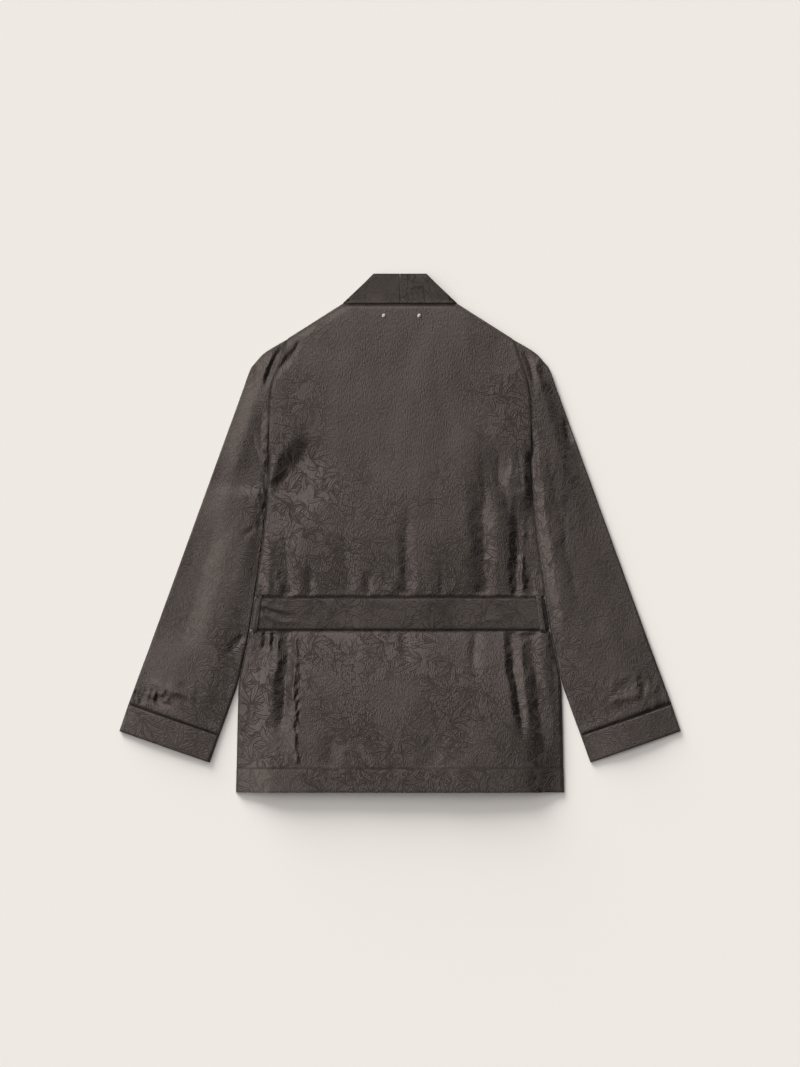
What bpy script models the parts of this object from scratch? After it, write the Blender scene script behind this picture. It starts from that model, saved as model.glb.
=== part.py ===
"""Kimono jacket of floral jacquard, laid out flat on its front with the back up.

X runs across the shoulders, Y from the hem to the collar and Z up from the surface.
All sizes below are millimetres, and the meshes are written in metres.
"""

import math
from collections import namedtuple

import bmesh
import bpy
from mathutils import Vector

MM = 0.001

# Cloth and the air between its layers
WALL = 1.2
HEM_WALL = 1.6
CUFF_WALL = 1.8
BELT_WALL = 1.6
COLLAR_WALL = 1.5
SEAM = 0.3
AIR = 0.4

# Heights along the jacket, from the hem to the top of the collar
HEM_Y = -389.0
HEM_SEAM_Y = -352.5
WAIST_Y = -121.0
UNDERARM_Y = 113.5
YOKE_Y = 220.0
COLLAR_EDGE_Y = 344.0
NECK_SEAM_Y = 350.0
COLLAR_TOP_Y = 389.0

# Belt
BELT_WIDTH = 46.5
BELT_LAP = 35.0
BELT_REACH = BELT_WIDTH / 2 + 4.0
BELT_RAMP = 16.0
LAP_FLAT, LAP_END = 50.0, 85.0

# Collar band and the wrap of the two fronts
COLLAR_TOP_HALF = 39.0
NECK_HALF = 86.0
NECK_CORNER = 74.0
BAND_WIDTH = 47.0
WRAP = 60.0
OVERLAP_NEAR, OVERLAP_FAR = 6.0, 24.0

# How far the back stands above the fronts, and how wide its rounded edge is
CROWN = 3.1
CROWN_AT_BELT = 2.2
EDGE_ROUND = 38.0
FOLD_EDGE = 4.0
OVER_LIFT = HEM_WALL + AIR

# Studs at the back of the neck
STUD_RADIUS = 3.6
STUD_HEIGHT = 1.9
STUD_PLACES = {"stud_left": (-24.0, 325.5), "stud_right": (29.0, 325.5)}

# Belt loops at the side seams
LOOP_WIDTH = 11.0
LOOP_WALL = 1.2

# Side seam from the hem to the underarm: height, half width
SIDE_SEAM = [
    (HEM_Y, 245.5),
    (HEM_SEAM_Y, 245.0),
    (-225.0, 241.4),
    (-185.0, 232.3),
    (-164.0, 227.2),
    (-148.0, 221.4),
    (WAIST_Y, 217.0),
    (-94.0, 213.0),
    (-78.0, 213.2),
    (-40.0, 208.8),
    (0.0, 203.9),
    (40.0, 200.0),
    (100.0, 196.6),
    (UNDERARM_Y, 196.8),
]

# Armhole seam from the underarm to the shoulder: half width, height
ARMHOLE = [
    (196.8, UNDERARM_Y),
    (196.5, 125.0),
    (196.2, 140.0),
    (195.8, 160.0),
    (195.3, 180.0),
    (194.3, 200.0),
    (191.5, YOKE_Y),
    (187.0, 238.0),
    (181.0, 256.0),
    (174.5, 275.0),
    (168.0, 292.0),
]

# Upper edge of the back, under the collar and down the shoulder: half width, height
TOP_EDGE = [
    (0.0, NECK_SEAM_Y),
    (NECK_CORNER, NECK_SEAM_Y),
    (NECK_HALF, COLLAR_EDGE_Y),
    ARMHOLE[-1],
]

# Sleeve edges, each paired by section: outer x, outer y, inner x, inner y
SLEEVE_SECTIONS = [
    (201.0, 272.4, 198.4, 96.0),
    (216.0, 257.5, 199.8, 70.0),
    (224.0, 247.5, 201.6, 40.0),
    (236.5, 213.0, 204.6, 8.0),
    (250.2, 175.5, 208.5, -24.0),
    (264.8, 135.5, 212.5, -54.0),
    (280.5, 92.5, 217.0, -86.0),
    (296.0, 50.0, 220.9, -113.0),
    (312.0, 6.5, 225.2, -141.0),
    (328.0, -37.5, 231.0, -170.0),
    (344.5, -82.5, 237.2, -199.0),
    (361.0, -127.5, 244.4, -229.0),
    (376.0, -168.5, 253.6, -255.0),
    (391.0, -209.5, 262.2, -279.0),
    (407.8, -255.6, 271.0, -303.2),
]
CUFF_END = (421.6, -296.5, 285.5, -344.0)

# Column places across a half of the back, closer together where folds stand
BACK_COLUMNS = [0.04, 0.1, 0.18, 0.27, 0.37, 0.47, 0.56, 0.63]
BACK_COLUMNS += [0.69, 0.74, 0.79, 0.84, 0.89, 0.935, 0.975, 1.0]
FRONT_COLUMNS = 10

Fold = namedtuple("Fold", "path half_width rise")

# Largest folds of the back: places along the fold, half width, rise above or below the cloth
BACK_FOLDS = [
    Fold([(-146, 160), (-192, 88)], 20, -3.0),
    Fold([(-186, 40), (-184, -80)], 18, 2.6),
    Fold([(-170, 0), (-167, -100)], 11, -3.2),
    Fold([(-154, -30), (-156, -100)], 13, 3.6),
    Fold([(-30, -40), (-24, -100)], 22, 2.2),
    Fold([(12, -20), (11, -100)], 12, -1.4),
    Fold([(45, -30), (48, -100)], 24, 2.0),
    Fold([(120, 140), (120, -100)], 16, -2.4),
    Fold([(142, 60), (143, -100)], 18, 2.2),
    Fold([(150, 150), (186, 50)], 15, -2.8),
    Fold([(168, 20), (166, -100)], 10, -3.4),
    Fold([(187, 10), (186, -100)], 13, 4.4),
    Fold([(-196, -140), (-199, -300)], 22, 3.4),
    Fold([(-169, -142), (-178, -270), (-172, -330)], 11, -3.4),
    Fold([(-154, -142), (-155, -352)], 13, 4.4),
    Fold([(6, -142), (14, -210)], 12, -1.4),
    Fold([(118, -142), (116, -280)], 20, -2.2),
    Fold([(148, -142), (152, -352)], 20, 3.0),
    Fold([(167, -142), (171, -250), (181, -352)], 10, -3.4),
    Fold([(196, -142), (201, -300)], 18, 4.0),
]

# Largest folds of each sleeve, in the same columns
SLEEVE_FOLDS = {
    "left": [
        Fold([(-178, 280), (-200, 225)], 12, 3.0),
        Fold([(-205, 262), (-222, 200)], 10, -2.2),
        Fold([(-232, 130), (-262, -40)], 24, 2.2),
        Fold([(-224, 12), (-262, -18)], 16, -2.6),
        Fold([(-246, -150), (-310, -206)], 18, -2.4),
        Fold([(-290, -222), (-380, -236)], 20, 4.2),
        Fold([(-318, -256), (-398, -240)], 9, -2.6),
    ],
    "right": [
        Fold([(196, 268), (214, 205)], 14, 2.8),
        Fold([(214, 190), (240, 20), (262, -120)], 12, -2.4),
        Fold([(234, 190), (268, 20), (296, -130)], 16, 2.4),
        Fold([(254, 150), (300, -40)], 12, -2.2),
        Fold([(300, -212), (390, -196)], 22, 3.0),
    ],
}

SILK_COLOUR = (0.078, 0.060, 0.053, 1.0)
STEEL_COLOUR = (0.62, 0.60, 0.58, 1.0)


def smooth(t):
    """Eases from 0 to 1."""
    t = min(1.0, max(0.0, t))
    return t * t * (3 - 2 * t)


def plateau(distance, flat, end):
    """1 up to the distance flat, easing to 0 at the distance end."""
    return 1.0 - smooth((distance - flat) / (end - flat))


def interpolate(table, at):
    """Reads a two-column table between its rows."""
    for (a, value_a), (b, value_b) in zip(table, table[1:]):
        if at <= b:
            return value_a + (value_b - value_a) * max(0.0, (at - a) / (b - a))
    return table[-1][1]


def lerp(a, b, t):
    return a + (b - a) * t


def nearest_on_path(x, y, path):
    """Distance to a line through the path's points, and the place along it."""
    best, best_along, along = math.inf, 0.0, 0.0
    point = Vector((x, y))
    for a, b in zip(path, path[1:]):
        a, b = Vector(a), Vector(b)
        run = b - a
        t = min(1.0, max(0.0, (point - a).dot(run) / run.length_squared))
        distance = (point - a - run * t).length
        if distance < best:
            best, best_along = distance, along + t * run.length
        along += run.length
    return best, best_along, along


def fold_rise(x, y, folds):
    """Height that the folds add at a place: each is a rounded ridge or trough that tapers at its ends."""
    total = 0.0
    for fold in folds:
        distance, along, length = nearest_on_path(x, y, fold.path)
        if distance >= fold.half_width:
            continue
        taper = min(0.3 * length, 45.0)
        ends = smooth(along / taper) * smooth((length - along) / taper)
        total += fold.rise * ends * math.cos(0.5 * math.pi * distance / fold.half_width) ** 2
    return total


def edge_round(distance):
    """Share of the full height at a distance from a folded edge: a quarter ellipse."""
    t = min(1.0, max(0.0, distance / EDGE_ROUND))
    return math.sqrt(1.0 - (1.0 - t) ** 2)


def side_half(y):
    return interpolate(SIDE_SEAM, y)


def band_free_x(y):
    """Free edge of the right collar band: from the neck to the wrap at the belt, then straight down."""
    t = min(1.0, (COLLAR_TOP_Y - y) / (COLLAR_TOP_Y - WAIST_Y))
    return lerp(COLLAR_TOP_HALF, -WRAP, t)


def band_seam_x(y):
    """Seam between the right collar band and the right front."""
    t = min(1.0, (COLLAR_EDGE_Y - y) / (COLLAR_EDGE_Y - WAIST_Y))
    return lerp(NECK_HALF, BAND_WIDTH - WRAP, t)


def belt_levels():
    """Heights of the rows that keep the cloth clear of the belt, from below it to above it."""
    far = BELT_REACH + BELT_RAMP
    return [WAIST_Y + offset for offset in (-far, -BELT_REACH, 0.0, BELT_REACH, far)]


def belt_hold(y):
    """1 where the belt lies, 0 away from it."""
    return plateau(abs(y - WAIST_Y), BELT_REACH, BELT_REACH + BELT_RAMP)


def belt_lift(x, y):
    """How far the belt's front run lifts the cloth above it, with its lapped ends at the middle."""
    lap = plateau(abs(x), LAP_FLAT, LAP_END)
    return (BELT_WALL + AIR) * (1.0 + lap) * belt_hold(y)


def right_front_floor(x, y):
    """Underside of the right front, the outer one, which lies on the surface."""
    return belt_lift(x, y)


def left_front_floor(x, y):
    """Underside of the left front, which climbs over the right one where they wrap."""
    over = plateau(band_free_x(y) - x, OVERLAP_NEAR, OVERLAP_FAR)
    return belt_lift(x, y) + OVER_LIFT * over


def back_crown(x, y):
    """Share of the back's full height, which falls to 0 at its folded side and shoulder edges."""
    away = [nearest_on_path(abs(x), y, TOP_EDGE)[0]]
    if y < UNDERARM_Y:
        away.append(side_half(y) - abs(x))
    else:
        away.append(math.hypot(ARMHOLE[0][0] - abs(x), y - UNDERARM_Y))
    return edge_round(min(away))


def back_floor(x, y):
    """Underside of the back panel."""
    held = belt_hold(y)
    front_wall = HEM_WALL if y < HEM_SEAM_Y else WALL
    rest = front_wall + SEAM + belt_lift(x, y) + lerp(CROWN, CROWN_AT_BELT, held) * back_crown(x, y)
    lowest = left_front_floor(x, y) + front_wall + AIR
    folds = fold_rise(x, y, BACK_FOLDS) * (1.0 - held) * smooth(4.0 * back_crown(x, y) - 1.0)
    return rest if folds == 0.0 else max(rest + folds, lowest)


def back_top(x, y):
    return back_floor(x, y) + WALL


def belt_floor(x):
    """Underside of the belt's back run, which lies on the back at the waist."""
    return back_top(x, WAIST_Y) + AIR


def cloth_material(name, colour, roughness, metallic=0.0):
    made = bpy.data.materials.new(name)
    made.use_nodes = True
    shader = made.node_tree.nodes["Principled BSDF"]
    shader.inputs["Base Color"].default_value = colour
    shader.inputs["Roughness"].default_value = roughness
    shader.inputs["Metallic"].default_value = metallic
    made.diffuse_color = colour
    return made


def add_object(name, mesh_builder, material):
    """Turns a bmesh in millimetres into a named object in metres."""
    bmesh.ops.recalc_face_normals(mesh_builder, faces=mesh_builder.faces)
    bmesh.ops.scale(mesh_builder, vec=(MM, MM, MM), verts=mesh_builder.verts)
    mesh = bpy.data.meshes.new(name)
    mesh_builder.to_mesh(mesh)
    mesh_builder.free()
    mesh.shade_smooth()
    mesh.set_sharp_from_angle(angle=math.radians(50))
    mesh.materials.append(material)
    made = bpy.data.objects.new(name, mesh)
    bpy.context.scene.collection.objects.link(made)
    return made


def wall_between(name, under, over, material):
    """A closed wall between two grids of points with the same rows and columns."""
    builder = bmesh.new()
    low = [[builder.verts.new(p) for p in row] for row in under]
    high = [[builder.verts.new(p) for p in row] for row in over]
    rows, columns = len(low), len(low[0])
    for i in range(rows - 1):
        for j in range(columns - 1):
            builder.faces.new((high[i][j], high[i][j + 1], high[i + 1][j + 1], high[i + 1][j]))
            builder.faces.new((low[i][j], low[i + 1][j], low[i + 1][j + 1], low[i][j + 1]))
    rim = [(0, j) for j in range(columns)]
    rim += [(i, columns - 1) for i in range(1, rows)]
    rim += [(rows - 1, j) for j in range(columns - 2, -1, -1)]
    rim += [(i, 0) for i in range(rows - 2, 0, -1)]
    for (a, b), (c, d) in zip(rim, rim[1:] + rim[:1]):
        builder.faces.new((low[a][b], low[c][d], high[c][d], high[a][b]))
    return add_object(name, builder, material)


def tube_between(name, outer, inner, material):
    """A closed tube wall between two lists of rings, open at both ends of the tube."""
    builder = bmesh.new()
    outside = [[builder.verts.new(p) for p in ring] for ring in outer]
    inside = [[builder.verts.new(p) for p in ring] for ring in inner]
    count = len(outside[0])
    for i in range(len(outside) - 1):
        for j in range(count):
            k = (j + 1) % count
            builder.faces.new((outside[i][j], outside[i][k], outside[i + 1][k], outside[i + 1][j]))
            builder.faces.new((inside[i][j], inside[i + 1][j], inside[i + 1][k], inside[i][k]))
    for end in (0, len(outside) - 1):
        for j in range(count):
            k = (j + 1) % count
            builder.faces.new((outside[end][j], inside[end][j], inside[end][k], outside[end][k]))
    return add_object(name, builder, material)


def raised(under, wall):
    """The grid moved out by the wall's thickness, along its normals inside and straight up at its rim."""
    rows, columns = len(under), len(under[0])
    over = []
    for i in range(rows):
        made = []
        for j in range(columns):
            normal = Vector((0.0, 0.0, 1.0))
            if 0 < i < rows - 1 and 0 < j < columns - 1:
                across = under[i][j + 1] - under[i][j - 1]
                along = under[i + 1][j] - under[i - 1][j]
                normal = across.cross(along).normalized()
                normal = normal if normal.z > 0 else -normal
            made.append(under[i][j] + normal * wall)
        over.append(made)
    return over


def laid_panel(name, grid, floor, wall, material):
    """A panel whose underside follows floor at each grid place."""
    under = [[Vector((x, y, floor(x, y))) for x, y in row] for row in grid]
    return wall_between(name, under, raised(under, wall), material)


def body_rows():
    """Rows of the body from the hem seam up: edge half width, edge height, share of the rise to the top."""
    below = [HEM_SEAM_Y + SEAM / 2, -322.0, -290.0, -255.0, -222.0, -190.0]
    above = [-40.0, 0.0, 40.0, 75.0, 100.0]
    rows = [(side_half(y), y, 0.0) for y in below + belt_levels() + above]
    rows += [(x, y, 0.0) for x, y in ARMHOLE if y <= YOKE_Y]
    top = ARMHOLE[-1][1]
    yoke = [p for p in ARMHOLE if p[1] >= YOKE_Y]
    for a, b in zip(yoke, yoke[1:]):
        for t in (0.5, 1.0):
            x, y = lerp(a[0], b[0], t), lerp(a[1], b[1], t)
            rows.append((x, y, (y - YOKE_Y) / (top - YOKE_Y)))
    return rows


def body_place(x, edge_y, share):
    """Height of a place in a body row: level below the yoke, rising to the shoulder and neck above it."""
    return edge_y if share == 0.0 else lerp(YOKE_Y, interpolate(TOP_EDGE, abs(x)), share)


def back_grid():
    columns = [-c for c in reversed(BACK_COLUMNS)] + [0.0] + BACK_COLUMNS
    grid = []
    for half, y, share in body_rows():
        grid.append([(half * c, body_place(half * c, y, share)) for c in columns])
    return grid


def front_grid(side):
    """Rows of one front, from its collar seam to its side or armhole edge."""
    grid = []
    for half, y, share in body_rows():
        inner_y = lerp(YOKE_Y, COLLAR_EDGE_Y, share) if share else y
        inner = band_seam_x(inner_y) + SEAM / 2
        row = []
        for j in range(FRONT_COLUMNS):
            t = j / (FRONT_COLUMNS - 1)
            row.append((side * lerp(inner, half, t), lerp(inner_y, y, t)))
        grid.append(row)
    return grid


def hem_grid(first_row):
    """Three rows below a panel's lowest row, down to the hem edge."""
    top, bottom = HEM_SEAM_Y - SEAM / 2, HEM_Y
    grid = []
    for t in (1.0, 0.5, 0.0):
        y = lerp(top, bottom, t)
        wider = side_half(y) / side_half(HEM_SEAM_Y)
        outer = max(abs(x) for x, _ in first_row)
        grid.append([(x * wider if abs(x) == outer else x, y) for x, _ in first_row])
    return grid


def make_body(cloth):
    back = back_grid()
    laid_panel("back", back, back_floor, WALL, cloth("back"))
    laid_panel("hem_back", hem_grid(back[0]), back_floor, HEM_WALL, cloth("hem_back"))
    for name, side, floor in (("right", 1, right_front_floor), ("left", -1, left_front_floor)):
        front = front_grid(side)
        laid_panel("front_" + name, front, floor, WALL, cloth("front_" + name))
        laid_panel("hem_front_" + name, hem_grid(front[0]), floor, HEM_WALL, cloth("hem_front_" + name))


def band_grid(side):
    """Rows of a front collar band, from the slanting fold at the neck to the hem."""
    places = (0.0, 0.34, 0.67, 1.0)
    neck, top = Vector((NECK_HALF, COLLAR_EDGE_Y)), Vector((COLLAR_TOP_HALF, COLLAR_TOP_Y))
    rows = [[tuple(neck.lerp(top, t)) for t in places]]
    levels = [320.0, 280.0, 240.0, 205.0, 170.0, 130.0, 80.0, 20.0, -35.0]
    levels += belt_levels()[::-1] + [-200.0, -245.0, -300.0, HEM_Y]
    for y in levels:
        seam, free = band_seam_x(y) - SEAM / 2, band_free_x(y)
        rows.append([(lerp(seam, free, t), y) for t in places])
    return [[(side * x, y) for x, y in row] for row in rows]


def make_front_bands(cloth):
    for name, side, floor in (("right", 1, right_front_floor), ("left", -1, left_front_floor)):
        laid_panel("collar_front_" + name, band_grid(side), floor, WALL, cloth("collar_front_" + name))


def collar_half_width(y):
    """Half width of the collar at the back neck, between its slanting folds at the sides."""
    t = (y - COLLAR_EDGE_Y) / (COLLAR_TOP_Y - COLLAR_EDGE_Y)
    return lerp(NECK_HALF, COLLAR_TOP_HALF, min(1.0, t))


def collar_line(x_share):
    """Middle line of the collar through its fall, its roll and its stand: height y and z at each point."""
    stand_z, roll_z = 2.35, 5.1
    line = []
    for y in (COLLAR_EDGE_Y, 347.0, 352.0, 360.0, 370.0, 379.0):
        x = x_share * collar_half_width(y)
        lying = back_top(min(x, NECK_HALF - 0.5), min(y, NECK_SEAM_Y)) + AIR + COLLAR_WALL / 2
        line.append((y, max(lerp(lying, roll_z, smooth((y - 346.0) / 26.0)), stand_z + COLLAR_WALL + AIR)))
    radius = (roll_z - stand_z) / 2
    for angle in (90, 50, 0, -50, -90):
        turn = math.radians(angle)
        y = COLLAR_TOP_Y - COLLAR_WALL / 2 - radius + radius * math.cos(turn)
        line.append((y, stand_z + radius + radius * math.sin(turn)))
    line += [(375.0, stand_z), (363.0, stand_z), (NECK_SEAM_Y + SEAM, stand_z)]
    return line


def make_collar_back(cloth):
    """Two halves of the collar at the back neck, which meet in a seam at the middle."""
    shares = [0.0, 0.15, 0.3, 0.45, 0.6, 0.75, 0.88, 0.96, 1.0]
    for name, side in (("right", 1), ("left", -1)):
        under, over = [], []
        for share in shares:
            line = [Vector((0.0, y, z)) for y, z in collar_line(share)]
            inner, outer = [], []
            for i, point in enumerate(line):
                run = line[min(i + 1, len(line) - 1)] - line[max(i - 1, 0)]
                out = Vector((0.0, -run.z, run.y)).normalized() * COLLAR_WALL / 2
                x = side * max(SEAM / 2, share * (collar_half_width(point.y) - SEAM))
                inner.append(Vector((x, point.y - out.y, point.z - out.z)))
                outer.append(Vector((x, point.y + out.y, point.z + out.z)))
            under.append(inner)
            over.append(outer)
        wall_between("collar_" + name, under, over, cloth("collar_" + name))


def sleeve_columns():
    """Shares of the way along the armhole seam, from the shoulder to the underarm, with its points."""
    points = [Vector(p) for p in reversed(ARMHOLE)]
    first, last = points[1] - points[0], points[-2] - points[-1]
    points.insert(1, points[0] + first.normalized() * FOLD_EDGE)
    points.insert(-1, points[-1] + last.normalized() * FOLD_EDGE)
    along = [0.0]
    for a, b in zip(points, points[1:]):
        along.append(along[-1] + (b - a).length)
    return points, [d / along[-1] for d in along]


def sleeve_places():
    """Places of the sleeve's columns in each section, from the armhole seam to the cuff seam."""
    seam, shares = sleeve_columns()
    off_seam = Vector((SEAM, 0.0))
    sections = [[p + off_seam for p in seam]]
    bow = [p - seam[0].lerp(seam[-1], t) for p, t in zip(seam, shares)]
    for i, (outer_x, outer_y, inner_x, inner_y) in enumerate(SLEEVE_SECTIONS):
        outer, inner = Vector((outer_x, outer_y)), Vector((inner_x, inner_y))
        width = (inner - outer).length
        even = [0.0, FOLD_EDGE / width, *shares[2:-2], 1.0 - FOLD_EDGE / width, 1.0]
        fade = 1.0 - smooth((i + 1) / 4)
        sections.append([outer.lerp(inner, t) + b * fade for t, b in zip(even, bow)])
    return sections


def flat_ring(section, side, wall, rise, folds):
    """Outer and inner ring of a tube that lies flat: along its underside and back over the top."""
    width = (section[-1] - section[0]).length
    crest = 2 * wall + SEAM
    tops = []
    for place in section:
        away = min((place - section[0]).length, (section[-1] - place).length, width / 2)
        fold = fold_rise(side * place.x, place.y, folds) * smooth(away / 20.0)
        tops.append(max(crest + rise * edge_round(away) + fold, crest + SEAM))
    middle = crest / 2
    outward = (section[0] - section[-1]).normalized()
    ends = {0: outward * -wall, len(section) - 1: outward * wall}
    outer_low, outer_high, inner_low, inner_high = [], [], [], []
    for k, place in enumerate(section):
        spot = Vector((side * place.x, place.y, 0.0))
        if k in ends:
            inset = Vector((side * ends[k].x, ends[k].y, 0.0))
            outer_low.append(spot + Vector((0, 0, middle)))
            inner_low.append(spot + inset + Vector((0, 0, middle)))
            continue
        outer_low.append(spot)
        inner_low.append(spot + Vector((0, 0, wall)))
        outer_high.append(spot + Vector((0, 0, tops[k])))
        inner_high.append(spot + Vector((0, 0, tops[k] - wall)))
    return outer_low + outer_high[::-1], inner_low + inner_high[::-1]


def make_sleeves(cloth):
    for name, side in (("right", 1), ("left", -1)):
        folds = SLEEVE_FOLDS[name]
        rings = [flat_ring(s, side, WALL, CROWN, folds) for s in sleeve_places()]
        tube_between("sleeve_" + name, [r[0] for r in rings], [r[1] for r in rings], cloth("sleeve_" + name))


def make_cuffs(cloth):
    """Cuff bands that carry on from the ends of the sleeves."""
    seam, end = SLEEVE_SECTIONS[-1], CUFF_END
    run = Vector((end[0] - seam[0], end[1] - seam[1])).normalized() * SEAM
    shares = sleeve_places()[-1]
    width = (shares[-1] - shares[0]).length
    columns = [(p - shares[0]).length / width for p in shares]
    for name, side in (("right", 1), ("left", -1)):
        rings = []
        for t in (0.0, 0.12, 0.5, 0.88, 1.0):
            outer = Vector(seam[:2]).lerp(Vector(end[:2]), t) + run * (1 - t)
            inner = Vector(seam[2:]).lerp(Vector(end[2:]), t) + run * (1 - t)
            section = [outer.lerp(inner, c) for c in columns]
            rings.append(flat_ring(section, side, CUFF_WALL, CROWN - 2 * (CUFF_WALL - WALL), []))
        tube_between("cuff_" + name, [r[0] for r in rings], [r[1] for r in rings], cloth("cuff_" + name))


def belt_path():
    """Middle line of the belt round the waist, from one lapped end to the other: place across, height."""
    half = side_half(WAIST_Y)
    low = BELT_WALL / 2
    high = belt_floor(half) + BELT_WALL / 2
    radius, centre = (high - low) / 2, half + 0.7
    path = [(x, low) for x in (BELT_LAP, 0.0, -BELT_LAP, -80.0, -130.0, -180.0, -206.0)]
    turn = [math.radians(a) for a in (-90, -54, -18, 18, 54, 90)]
    bend = [(centre + radius * math.cos(a), low + radius + radius * math.sin(a)) for a in turn]
    path += [(-x, z) for x, z in bend]
    run = (0.97, 0.93, 0.88, 0.8, 0.7, 0.58, 0.46, 0.37, 0.3, 0.23, 0.15)
    across = [-half * c for c in run] + [0.0] + [half * c for c in reversed(run)]
    path += [(x, belt_floor(x) + BELT_WALL / 2) for x in across]
    path += bend[::-1]
    path += [(x, low) for x in (206.0, 180.0, 130.0, 100.0, 76.0)]
    lapped = low + BELT_WALL + AIR
    return path + [(x, lapped) for x in (BELT_LAP + 9.0, 0.0, -BELT_LAP)]


def make_belt(cloth):
    line = [Vector((x, 0.0, z)) for x, z in belt_path()]
    half = side_half(WAIST_Y)
    inner, outer = [], []
    for i, point in enumerate(line):
        run = line[min(i + 1, len(line) - 1)] - line[max(i - 1, 0)]
        out = Vector((-run.z, 0.0, run.x)).normalized() * BELT_WALL / 2
        inside, outside = [], []
        for across in (-0.5, 0.0, 0.5):
            y = WAIST_Y + across * BELT_WIDTH
            slant = side_half(y) / half
            inside.append(Vector(((point.x - out.x) * slant, y, point.z - out.z)))
            outside.append(Vector(((point.x + out.x) * slant, y, point.z + out.z)))
        inner.append(inside)
        outer.append(outside)
    wall_between("belt", inner, outer, cloth("belt"))


def make_belt_loops(cloth):
    """Narrow straps over the belt at the side seams, from the back above it to the back below it."""
    half = side_half(WAIST_Y)
    edge = BELT_WIDTH / 2
    for name, side in (("right", 1), ("left", -1)):
        under = []
        for offset, on_belt in (
            (-edge - 4.6, False),
            (-edge - 1.0, True),
            (0.0, True),
            (edge + 1.0, True),
            (edge + 4.6, False),
        ):
            y = WAIST_Y + offset
            row = []
            for t in (0.0, 0.5, 1.0):
                x = half - 2.0 - LOOP_WIDTH * t
                lying = belt_floor(x) + BELT_WALL + AIR if on_belt else back_top(x, WAIST_Y) + SEAM
                row.append(Vector((side * x * side_half(y) / half, y, lying)))
            under.append(row)
        over = [[p + Vector((0.0, 0.0, LOOP_WALL)) for p in row] for row in under]
        wall_between("belt_loop_" + name, under, over, cloth("belt_loop_" + name))


def make_studs(steel):
    """Plain round domes on the back below the collar, turned from a profile."""
    steps, quarter = 14, 4
    for name, (x, y) in STUD_PLACES.items():
        foot = back_top(x, y) + SEAM
        builder = bmesh.new()
        rim = []
        for k in range(quarter):
            angle = 0.5 * math.pi * k / quarter
            reach, height = STUD_RADIUS * math.cos(angle), STUD_HEIGHT * math.sin(angle)
            ring = []
            for s in range(steps):
                turn = 2 * math.pi * s / steps
                spot = (x + reach * math.cos(turn), y + reach * math.sin(turn), foot + height)
                ring.append(builder.verts.new(spot))
            rim.append(ring)
        top = builder.verts.new((x, y, foot + STUD_HEIGHT))
        for low, high in zip(rim, rim[1:]):
            for s in range(steps):
                n = (s + 1) % steps
                builder.faces.new((low[s], low[n], high[n], high[s]))
        for s in range(steps):
            builder.faces.new((rim[-1][s], rim[-1][(s + 1) % steps], top))
        builder.faces.new(rim[0][::-1])
        add_object(name, builder, steel(name))


def main():
    for old in list(bpy.data.objects):
        bpy.data.objects.remove(old)

    def cloth(piece):
        return cloth_material(piece + "_silk", SILK_COLOUR, 0.42)

    def steel(piece):
        return cloth_material(piece + "_steel", STEEL_COLOUR, 0.25, metallic=1.0)

    make_body(cloth)
    make_front_bands(cloth)
    make_collar_back(cloth)
    make_sleeves(cloth)
    make_cuffs(cloth)
    make_belt(cloth)
    make_belt_loops(cloth)
    make_studs(steel)


main()
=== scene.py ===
import math
from collections import namedtuple

import bmesh
import bpy
import numpy as np
from bpy.props import FloatProperty, FloatVectorProperty, PointerProperty
from bpy.types import Operator, Panel, PropertyGroup
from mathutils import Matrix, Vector, noise


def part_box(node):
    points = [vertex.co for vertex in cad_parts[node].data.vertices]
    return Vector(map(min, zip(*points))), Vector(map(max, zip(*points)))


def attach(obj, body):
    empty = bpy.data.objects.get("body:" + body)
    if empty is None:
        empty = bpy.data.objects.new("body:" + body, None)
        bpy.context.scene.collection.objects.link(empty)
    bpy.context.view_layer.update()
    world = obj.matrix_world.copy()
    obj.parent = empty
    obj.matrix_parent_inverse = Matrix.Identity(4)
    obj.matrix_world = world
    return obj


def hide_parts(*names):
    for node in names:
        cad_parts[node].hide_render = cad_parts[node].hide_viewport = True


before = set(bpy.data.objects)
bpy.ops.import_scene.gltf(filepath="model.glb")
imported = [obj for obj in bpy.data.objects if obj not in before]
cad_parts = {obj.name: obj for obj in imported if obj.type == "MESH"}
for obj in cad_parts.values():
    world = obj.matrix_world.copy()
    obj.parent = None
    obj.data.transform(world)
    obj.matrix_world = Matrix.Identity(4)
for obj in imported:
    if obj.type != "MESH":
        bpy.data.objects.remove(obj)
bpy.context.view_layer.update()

bl_info = {
    "name": "Kimono jacket",
    "version": (1, 0, 0),
    "blender": (4, 5, 0),
    "location": "View3D > Sidebar > Jacket",
    "description": "Builds a belted kimono jacket of floral jacquard, laid out flat with its back up",
    "category": "Object",
}

MM = 0.001
SIDES = (("right", 1), ("left", -1))

# Heights along the jacket in millimetres, as in the solids
HEM_Y = -389.0
HEM_SEAM_Y = -352.5
WAIST_Y = -121.0
UNDERARM_Y = 113.5
YOKE_Y = 220.0
COLLAR_EDGE_Y = 344.0
NECK_SEAM_Y = 350.0
COLLAR_TOP_Y = 389.0
BAND_TOP_Y = 330.0

# Collar, wrap of the fronts, belt
COLLAR_TOP_HALF = 39.0
NECK_HALF = 86.0
NECK_CORNER = 74.0
BAND_WIDTH = 47.0
WRAP = 60.0
BELT_WIDTH = 46.5
BELT_WALL = 1.6
BELT_LAP = 35.0
LAP_FLAT, LAP_END = 50.0, 85.0
AIR = 0.4
WALL = 1.2
HEM_WALL = 1.6
OVER_LIFT = 2.0

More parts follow.
